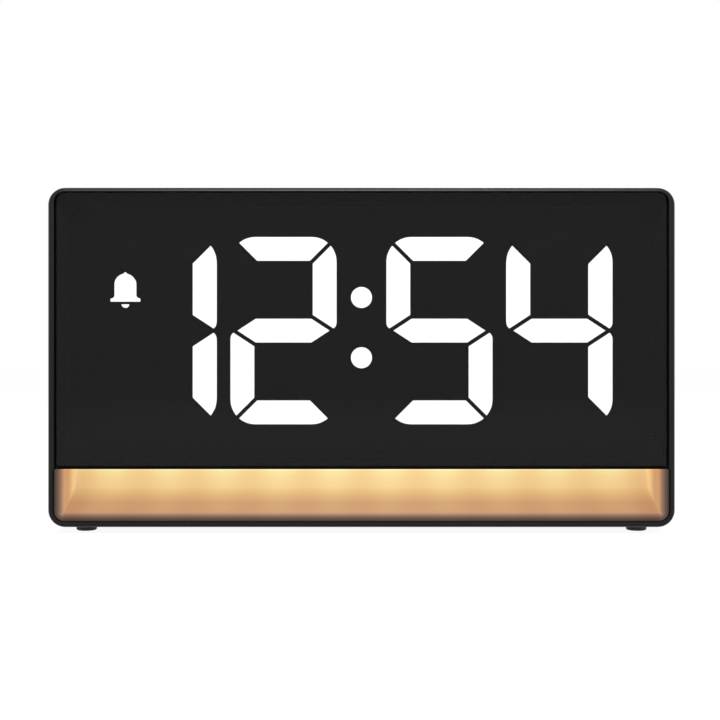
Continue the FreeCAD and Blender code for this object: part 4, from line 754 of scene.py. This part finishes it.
# %% One cross-recess screw
SCREW_SIDES = 32
HEAD_ROUNDING = 0.45
THREAD_ROOT = 0.78
TIP_SHARE = 0.35
RECESS_DEPTH = 0.62
RECESS_LENGTH = 1.15
RECESS_WIDTH = 0.24
RECESS_TAPER = 0.45
RECESS_CLEARANCE = 5e-5
BEVEL_STEPS = 4
NEARLY = 0.99


def cross_screw(head_radius, head_height, shank_radius, length, turns):
    """A pan-head screw that stands on its tip: its seat lies at z = 0 and its head above."""
    bpy.ops.object.select_all(action="DESELECT")
    bpy.ops.mesh.primitive_cylinder_add(vertices=SCREW_SIDES, radius=head_radius,
                                        depth=head_height, location=(0, 0, head_height / 2))
    screw = bpy.context.object
    bpy.ops.object.transform_apply(location=True, rotation=True, scale=True)
    edit_edges(screw, lambda a, b: min(a.z, b.z) > head_height * NEARLY)
    bpy.ops.mesh.bevel(offset=head_height * HEAD_ROUNDING, segments=BEVEL_STEPS,
                       affect="EDGES")
    close_edit()

    edit_faces(screw, lambda centre, normal: normal.z < -NEARLY)
    bpy.ops.mesh.inset(thickness=head_radius - shank_radius)
    pitch = (length - 3 * shank_radius) / turns
    push(z=-shank_radius)
    for turn in range(turns):
        push(z=-pitch / 2)
        swell(THREAD_ROOT, THREAD_ROOT, 1)
        push(z=-pitch / 2)
        swell(1 / THREAD_ROOT, 1 / THREAD_ROOT, 1)
    push(z=-2 * shank_radius)
    swell(TIP_SHARE, TIP_SHARE, 1)
    close_edit()

    depth = head_height * RECESS_DEPTH
    middle = head_height - depth / 2 + RECESS_CLEARANCE
    for quarter in (0, 1):
        bpy.ops.object.select_all(action="DESELECT")
        bpy.ops.mesh.primitive_cube_add(size=1, location=(0, 0, middle))
        wedge = bpy.context.object
        wedge.scale = (head_radius * RECESS_LENGTH, head_radius * RECESS_WIDTH,
                       depth + 2 * RECESS_CLEARANCE)
        wedge.rotation_euler = (0, 0, math.radians(90) * quarter)
        bpy.ops.object.transform_apply(location=True, rotation=True, scale=True)
        edit_faces(wedge, lambda centre, normal: normal.z < -NEARLY)
        swell(RECESS_TAPER, RECESS_TAPER, 1)
        close_edit()
        cut_with(screw, wedge)
    return screw


print("screw ready, thread root", THREAD_ROOT, "of its crest")


# %% Four case screws
def copied(piece, place, turn):
    """A copy with its own mesh, turned and placed."""
    select_only(piece)
    bpy.ops.object.duplicate(linked=False)
    copy = bpy.context.object
    copy.rotation_euler = turn
    copy.location = place
    bpy.ops.object.transform_apply(location=True, rotation=True, scale=True)
    return copy


case_low, case_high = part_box("case_screws")
CASE_HEAD_RADIUS = 0.0023
CASE_HEAD_HEIGHT = 0.0016
CASE_SHANK_RADIUS = 0.00115
CASE_TURNS = 12
FACING_BACK = (math.radians(-90), 0, 0)
pattern = cross_screw(CASE_HEAD_RADIUS, CASE_HEAD_HEIGHT, CASE_SHANK_RADIUS,
                      case_high.y - case_low.y - CASE_HEAD_HEIGHT, CASE_TURNS)
seat_y = case_high.y - CASE_HEAD_HEIGHT
corners = [(x, seat_y, z)
           for x in (case_low.x + CASE_HEAD_RADIUS, case_high.x - CASE_HEAD_RADIUS)
           for z in (case_low.z + CASE_HEAD_RADIUS, case_high.z - CASE_HEAD_RADIUS)]
screws = [copied(pattern, corner, FACING_BACK) for corner in corners]
bpy.data.objects.remove(pattern, do_unlink=True)
select_only(*screws)
bpy.ops.object.join()
case_screws = settle(bpy.context.object, "case_screws_cross_recess", "housing",
                     black_steel)
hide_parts("case_screws")
print("case screws:", len(case_screws.data.polygons), "faces")

# %% [markdown]
# The battery door has one smaller screw of the same kind, which stays in the door when it is
# loose. The same function makes it from its own sizes, and it rides on the door.

# %% Door screw
door_low, door_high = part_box("door_screw")
DOOR_HEAD_HEIGHT = 0.0013
DOOR_SHANK_RADIUS = 0.0009
DOOR_TURNS = 3
door_head_radius = (door_high.x - door_low.x) / 2
door_screw = cross_screw(door_head_radius, DOOR_HEAD_HEIGHT, DOOR_SHANK_RADIUS,
                         door_high.y - door_low.y - DOOR_HEAD_HEIGHT, DOOR_TURNS)
door_screw.rotation_euler = FACING_BACK
door_middle = (door_low + door_high) / 2
door_screw.location = (door_middle.x, door_high.y - DOOR_HEAD_HEIGHT, door_middle.z)
door_screw = settle(door_screw, "door_screw_cross_recess", "battery_door", black_steel)
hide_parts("door_screw")
print("door screw:", len(door_screw.data.polygons), "faces")

# %% [markdown]
# The glowing figures come next. Milky resin is poured into the windows of the reflector block
# and shrinks a tenth of a millimetre as it sets, so the light keeps clear of the window's walls
# and the gaps between the bars read wider than the ribs. The resin is copied from the solid
# bars, its loose triangles are merged, and every face is drawn in along its normal by the same
# way. A plain scaling would move the bars instead of thinning them.

# %% Lit bars, shrunk from their windows
SHRINKAGE = 0.00011
BARS_MERGE_WITHIN = 1e-6
BARS_FLAT_WITHIN = 0.5
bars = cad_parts["lit_segments"]
select_only(bars)
bpy.ops.object.duplicate(linked=False)
lit_bars = bpy.context.object
lit_bars.parent = None
bpy.ops.object.mode_set(mode="EDIT")
bpy.ops.mesh.select_all(action="SELECT")
bpy.ops.mesh.remove_doubles(threshold=BARS_MERGE_WITHIN)
bpy.ops.mesh.dissolve_limited(angle_limit=math.radians(BARS_FLAT_WITHIN))
bpy.ops.mesh.select_all(action="SELECT")
bpy.ops.transform.shrink_fatten(value=-SHRINKAGE, use_even_offset=True)
close_edit()
settle(lit_bars, "lit_bars", "housing", lit_resin)
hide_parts("lit_segments")
bars_low, bars_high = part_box("lit_segments")
widths = [corner.co.x for corner in lit_bars.data.vertices]
print("bars", round((max(widths) - min(widths)) * 1000, 2), "mm wide in",
      round((bars_high.x - bars_low.x) * 1000, 2), "mm of windows")

# %% [markdown]
# The setting keys on the back carry signs, so that a hand can find them and an eye can read
# them: a clock face for the time, a bell for the alarm, a minus and a plus. On such clocks the
# signs are pad-printed in light grey. They are modelled as a film of paint a few hundredths of a
# millimetre thick, from a cylinder or a cube that is cut, extruded and inset in edit mode, so
# they stay crisp close up and move with their keys.

# %% Ink
pad_print, shader = finish("pad_print", (0.52, 0.52, 0.51), 0.5, specular=0.4)
ink = noise(pad_print, 6000, 3.0)
tint(pad_print, shader, ink, [(NOISE_LOW, (0.44, 0.44, 0.43)), (NOISE_HIGH, (0.58, 0.58, 0.57))])
spread(pad_print, ink, 0.42, 0.6, shader.inputs["Roughness"])
print("ink ready")

# %% Helpers for films of print
PRINT_THICKNESS = 0.00006
PRINT_OVERLAP = 0.00001
END_ROUNDING = 0.45


def key_face(node):
    """Middle of a key's crown, on the side that faces back."""
    low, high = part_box(node)
    return Vector(((low.x + high.x) / 2, high.y, (low.z + high.z) / 2))


def film_place(middle):
    """Where the middle of a film of print lies, sunk a hair into what carries it."""
    return (middle.x, middle.y + PRINT_THICKNESS / 2 - PRINT_OVERLAP, middle.z)


def flat_disc(radius, middle, vertices=48):
    """A thin disc of print that faces back."""
    bpy.ops.object.select_all(action="DESELECT")
    bpy.ops.mesh.primitive_cylinder_add(
        vertices=vertices, radius=radius, depth=PRINT_THICKNESS,
        location=film_place(middle), rotation=(math.radians(90), 0, 0))
    disc = bpy.context.object
    bpy.ops.object.transform_apply(location=True, rotation=True, scale=True)
    return disc


def flat_block(width, height, middle):
    """A thin square-cornered block of print that faces back."""
    bpy.ops.object.select_all(action="DESELECT")
    bpy.ops.mesh.primitive_cube_add(size=1, location=film_place(middle))
    block = bpy.context.object
    block.scale = (width, PRINT_THICKNESS, height)
    bpy.ops.object.transform_apply(location=True, rotation=True, scale=True)
    return block


def flat_bar(width, height, middle):
    """A thin bar of print with round ends."""
    bar = flat_block(width, height, middle)
    edit_edges(bar, lambda a, b: abs(a.y - b.y) > PRINT_THICKNESS / 2)
    bpy.ops.mesh.bevel(offset=min(width, height) * END_ROUNDING, segments=BEVEL_STEPS,
                       affect="EDGES")
    close_edit()
    return bar


print("films", PRINT_THICKNESS * 1000, "mm thick")

# %% [markdown]
# The clock face is a ring with two hands. A disc becomes a ring when both of its faces are inset
# and the two inner faces are bridged. The hands are two bars with round ends that overlap in the
# middle.

# %% Clock face on the time key
DIAL_RADIUS = 0.0019
DIAL_LINE = 0.00034
HOUR_HAND = DIAL_RADIUS * 0.52
MINUTE_HAND = DIAL_RADIUS * 0.72
HOUR_HAND_ASIDE = DIAL_RADIUS * 0.20
MINUTE_HAND_RISE = DIAL_RADIUS * 0.30
middle = key_face("time_key")
dial = flat_disc(DIAL_RADIUS, middle)
edit_faces(dial, lambda centre, normal: abs(normal.y) > NEARLY)
bpy.ops.mesh.inset(thickness=DIAL_LINE, use_individual=True)
bpy.ops.mesh.bridge_edge_loops()
close_edit()
hour_hand = flat_bar(HOUR_HAND, DIAL_LINE, middle + Vector((-HOUR_HAND_ASIDE, 0, 0)))
minute_hand = flat_bar(DIAL_LINE, MINUTE_HAND, middle + Vector((0, 0, MINUTE_HAND_RISE)))
select_only(dial, hour_hand, minute_hand)
bpy.ops.object.join()
settle(dial, "sign_time", "time_key", pad_print)
print("time sign:", len(dial.data.polygons), "faces")

# %% [markdown]
# The bell starts as a disc of which only the upper half is kept. The cut face is pushed down for
# the body, flares for the mouth and ends in a short straight lip. Two small discs are its
# clapper and its knob.

# %% Bell on the alarm key
BELL_RADIUS = 0.00115
BELL_SHOULDER = 0.0005
BELL_BODY = 0.0011
BELL_FLARE = 0.0004
BELL_FLARE_SCALE = 1.4
BELL_LIP = 0.0003
CLAPPER_RADIUS = 0.0004
CLAPPER_DROP = 0.00165
CLAPPER_SIDES = 24
KNOB_RADIUS = 0.00028
KNOB_RISE = 0.00175
KNOB_SIDES = 20
HAIR = 1e-6
middle = key_face("alarm_key")
bell = flat_disc(BELL_RADIUS, middle + Vector((0, 0, BELL_SHOULDER)))
shoulder = middle.z + BELL_SHOULDER
bpy.ops.object.mode_set(mode="EDIT")
bpy.ops.mesh.select_all(action="SELECT")
bpy.ops.mesh.bisect(plane_co=(middle.x, middle.y, shoulder - HAIR), plane_no=(0, 0, -1),
                    use_fill=True, clear_outer=True)
close_edit()
edit_faces(bell, lambda centre, normal: abs(normal.z) > NEARLY
           and centre.z < shoulder + 10 * HAIR)
push(z=-BELL_BODY)
push(z=-BELL_FLARE)
swell(BELL_FLARE_SCALE, 1, 1, middle)
push(z=-BELL_LIP)
close_edit()
clapper = flat_disc(CLAPPER_RADIUS, middle + Vector((0, 0, -CLAPPER_DROP)), CLAPPER_SIDES)
knob = flat_disc(KNOB_RADIUS, middle + Vector((0, 0, KNOB_RISE)), KNOB_SIDES)
select_only(bell, clapper, knob)
bpy.ops.object.join()
settle(bell, "sign_alarm", "alarm_key", pad_print)
print("alarm sign:", len(bell.data.polygons), "faces")

# %% [markdown]
# A minus is one bar. A plus is a small square with an arm pushed out of each of its four sides,
# so the arms are one film and don't lie over each other.

# %% Minus and plus
SIGN_LENGTH = 0.0030
SIGN_LINE = 0.00055
minus = flat_bar(SIGN_LENGTH, SIGN_LINE, key_face("minus_key"))
settle(minus, "sign_minus", "minus_key", pad_print)
middle = key_face("plus_key")
plus = flat_block(SIGN_LINE, SIGN_LINE, middle)
arm = (SIGN_LENGTH - SIGN_LINE) / 2
for way in (Vector((1, 0, 0)), Vector((-1, 0, 0)), Vector((0, 0, 1)), Vector((0, 0, -1))):
    edit_faces(plus, lambda centre, normal: normal.dot(way) > NEARLY
               and (centre - middle).length < SIGN_LINE)
    push(*(way * arm))
    close_edit()
settle(plus, "sign_plus", "plus_key", pad_print)
print("plus sign:", len(plus.data.polygons), "faces")

# %% [markdown]
# The slide switch has two stops, so its bay is marked OFF and ON, in the small capitals that
# such switches have. The words are set as text, turned to face the back and made a mesh before
# they take their place.

# %% ON and OFF beside the slider
BAY_DEPTH = 0.0016
BAY_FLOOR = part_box("rear_cover")[1].y - BAY_DEPTH
SLIDER_TRAVEL = 0.003
LETTER_HEIGHT = 0.0017
CAPITAL_SHARE = 0.7
WORD_RISE = 0.0040
WORD_ASIDE = 0.0012


def word(letters, name, middle):
    """A flat word of print that reads from behind."""
    bpy.ops.object.select_all(action="DESELECT")
    bpy.ops.object.text_add(location=(0, 0, 0))
    sign = bpy.context.object
    sign.data.body = letters
    sign.data.size = LETTER_HEIGHT / CAPITAL_SHARE
    sign.data.extrude = PRINT_THICKNESS / 2
    bpy.ops.object.convert(target="MESH")
    sign = bpy.context.object
    bpy.ops.object.origin_set(type="ORIGIN_GEOMETRY", center="BOUNDS")
    sign.rotation_euler = (math.radians(90), 0, math.radians(180))
    sign.location = film_place(middle)
    return settle(sign, name, "housing", pad_print)


slider_low, slider_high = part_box("alarm_slider")
slider_middle = (slider_low + slider_high) / 2
word_z = slider_middle.z + WORD_RISE
word("OFF", "sign_off", Vector((slider_middle.x - WORD_ASIDE, BAY_FLOOR, word_z)))
word("ON", "sign_on",
     Vector((slider_middle.x + SLIDER_TRAVEL + WORD_ASIDE, BAY_FLOOR, word_z)))
print("words at the slider, bay floor y", round(BAY_FLOOR, 4))

# %% [markdown]
# The two pads on the top are found in the dark by touch and told apart by a small print: a moon
# for the snooze bar and a sun for the light. This print lies in the finish itself, because a film
# on the clock's highest faces would stand above the solid model. Distances from the middle of
# the sign decide where ink lies, and the height keeps it off the sides of the pad.

# %% Helpers for print in the finish
INK = (0.50, 0.50, 0.49)
CROWN_DEPTH = 0.0001


def distance(material, x, y, middle_x, middle_y):
    """Distance in the level plane from a place."""
    dx = math_node(material, "SUBTRACT", x, middle_x)
    dy = math_node(material, "SUBTRACT", y, middle_y)
    squares = math_node(material, "MULTIPLY", dx, dx)
    squares = math_node(material, "MULTIPLY_ADD", dy, dy, squares)
    return math_node(material, "SQRT", squares)


def ink_on(material, shader, inked, z, crown):
    """Mixes ink into the coat where the value is 1, on the crown alone."""
    on_top = math_node(material, "GREATER_THAN", z, crown - CROWN_DEPTH)
    inked = math_node(material, "MULTIPLY", inked, on_top)
    tint(material, shader, inked, [(0.0, KEY_GREY), (1.0, INK)])


print("ink", INK, "on", KEY_GREY)

# %% Moon on the snooze bar
MOON_RADIUS = 0.0020
BITE_RADIUS = MOON_RADIUS * 0.82
BITE_ASIDE = MOON_RADIUS * 0.5
BITE_BACK = MOON_RADIUS * 0.25
bar_low, bar_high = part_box("snooze_bar")
snooze_coat, shader = soft_touch("snooze_coat")
x, y, z = places(snooze_coat)
middle = (bar_low + bar_high) / 2
disc = math_node(snooze_coat, "LESS_THAN",
                 distance(snooze_coat, x, y, middle.x, middle.y), MOON_RADIUS)
bite = distance(snooze_coat, x, y, middle.x + BITE_ASIDE, middle.y + BITE_BACK)
unbitten = math_node(snooze_coat, "GREATER_THAN", bite, BITE_RADIUS)
moon = math_node(snooze_coat, "MULTIPLY", disc, unbitten)
ink_on(snooze_coat, shader, moon, z, bar_high.z)
dress(snooze_coat, "snooze_bar")
print("moon", round(MOON_RADIUS * 2000, 1), "mm wide")

# %% Sun on the light key
SUN_RADIUS = 0.0013
RAY_INNER = 0.0017
RAY_OUTER = 0.0026
RAY_WIDTH = 0.00032
RAY_LINES = 4
pad_low, pad_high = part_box("mood_light_key")
light_coat, shader = soft_touch("light_coat")
x, y, z = places(light_coat)
middle = (pad_low + pad_high) / 2
way = distance(light_coat, x, y, middle.x, middle.y)
sun = math_node(light_coat, "LESS_THAN", way, SUN_RADIUS)
ring = math_node(light_coat, "MULTIPLY",
                 math_node(light_coat, "GREATER_THAN", way, RAY_INNER),
                 math_node(light_coat, "LESS_THAN", way, RAY_OUTER))
dx = math_node(light_coat, "SUBTRACT", x, middle.x)
dy = math_node(light_coat, "SUBTRACT", y, middle.y)
rays = None
for turn in range(RAY_LINES):
    angle = math.pi * turn / RAY_LINES
    aside = math_node(light_coat, "MULTIPLY", dx, math.sin(angle))
    aside = math_node(light_coat, "MULTIPLY_ADD", dy, math.cos(angle), aside)
    aside = math_node(light_coat, "ABSOLUTE", aside)
    ray = math_node(light_coat, "LESS_THAN", aside, RAY_WIDTH / 2)
    rays = ray if rays is None else math_node(light_coat, "MAXIMUM", rays, ray)
sun = math_node(light_coat, "MAXIMUM", sun, math_node(light_coat, "MULTIPLY", ring, rays))
ink_on(light_coat, shader, sun, z, pad_high.z)
dress(light_coat, "mood_light_key")
print("sun with", 2 * RAY_LINES, "rays")
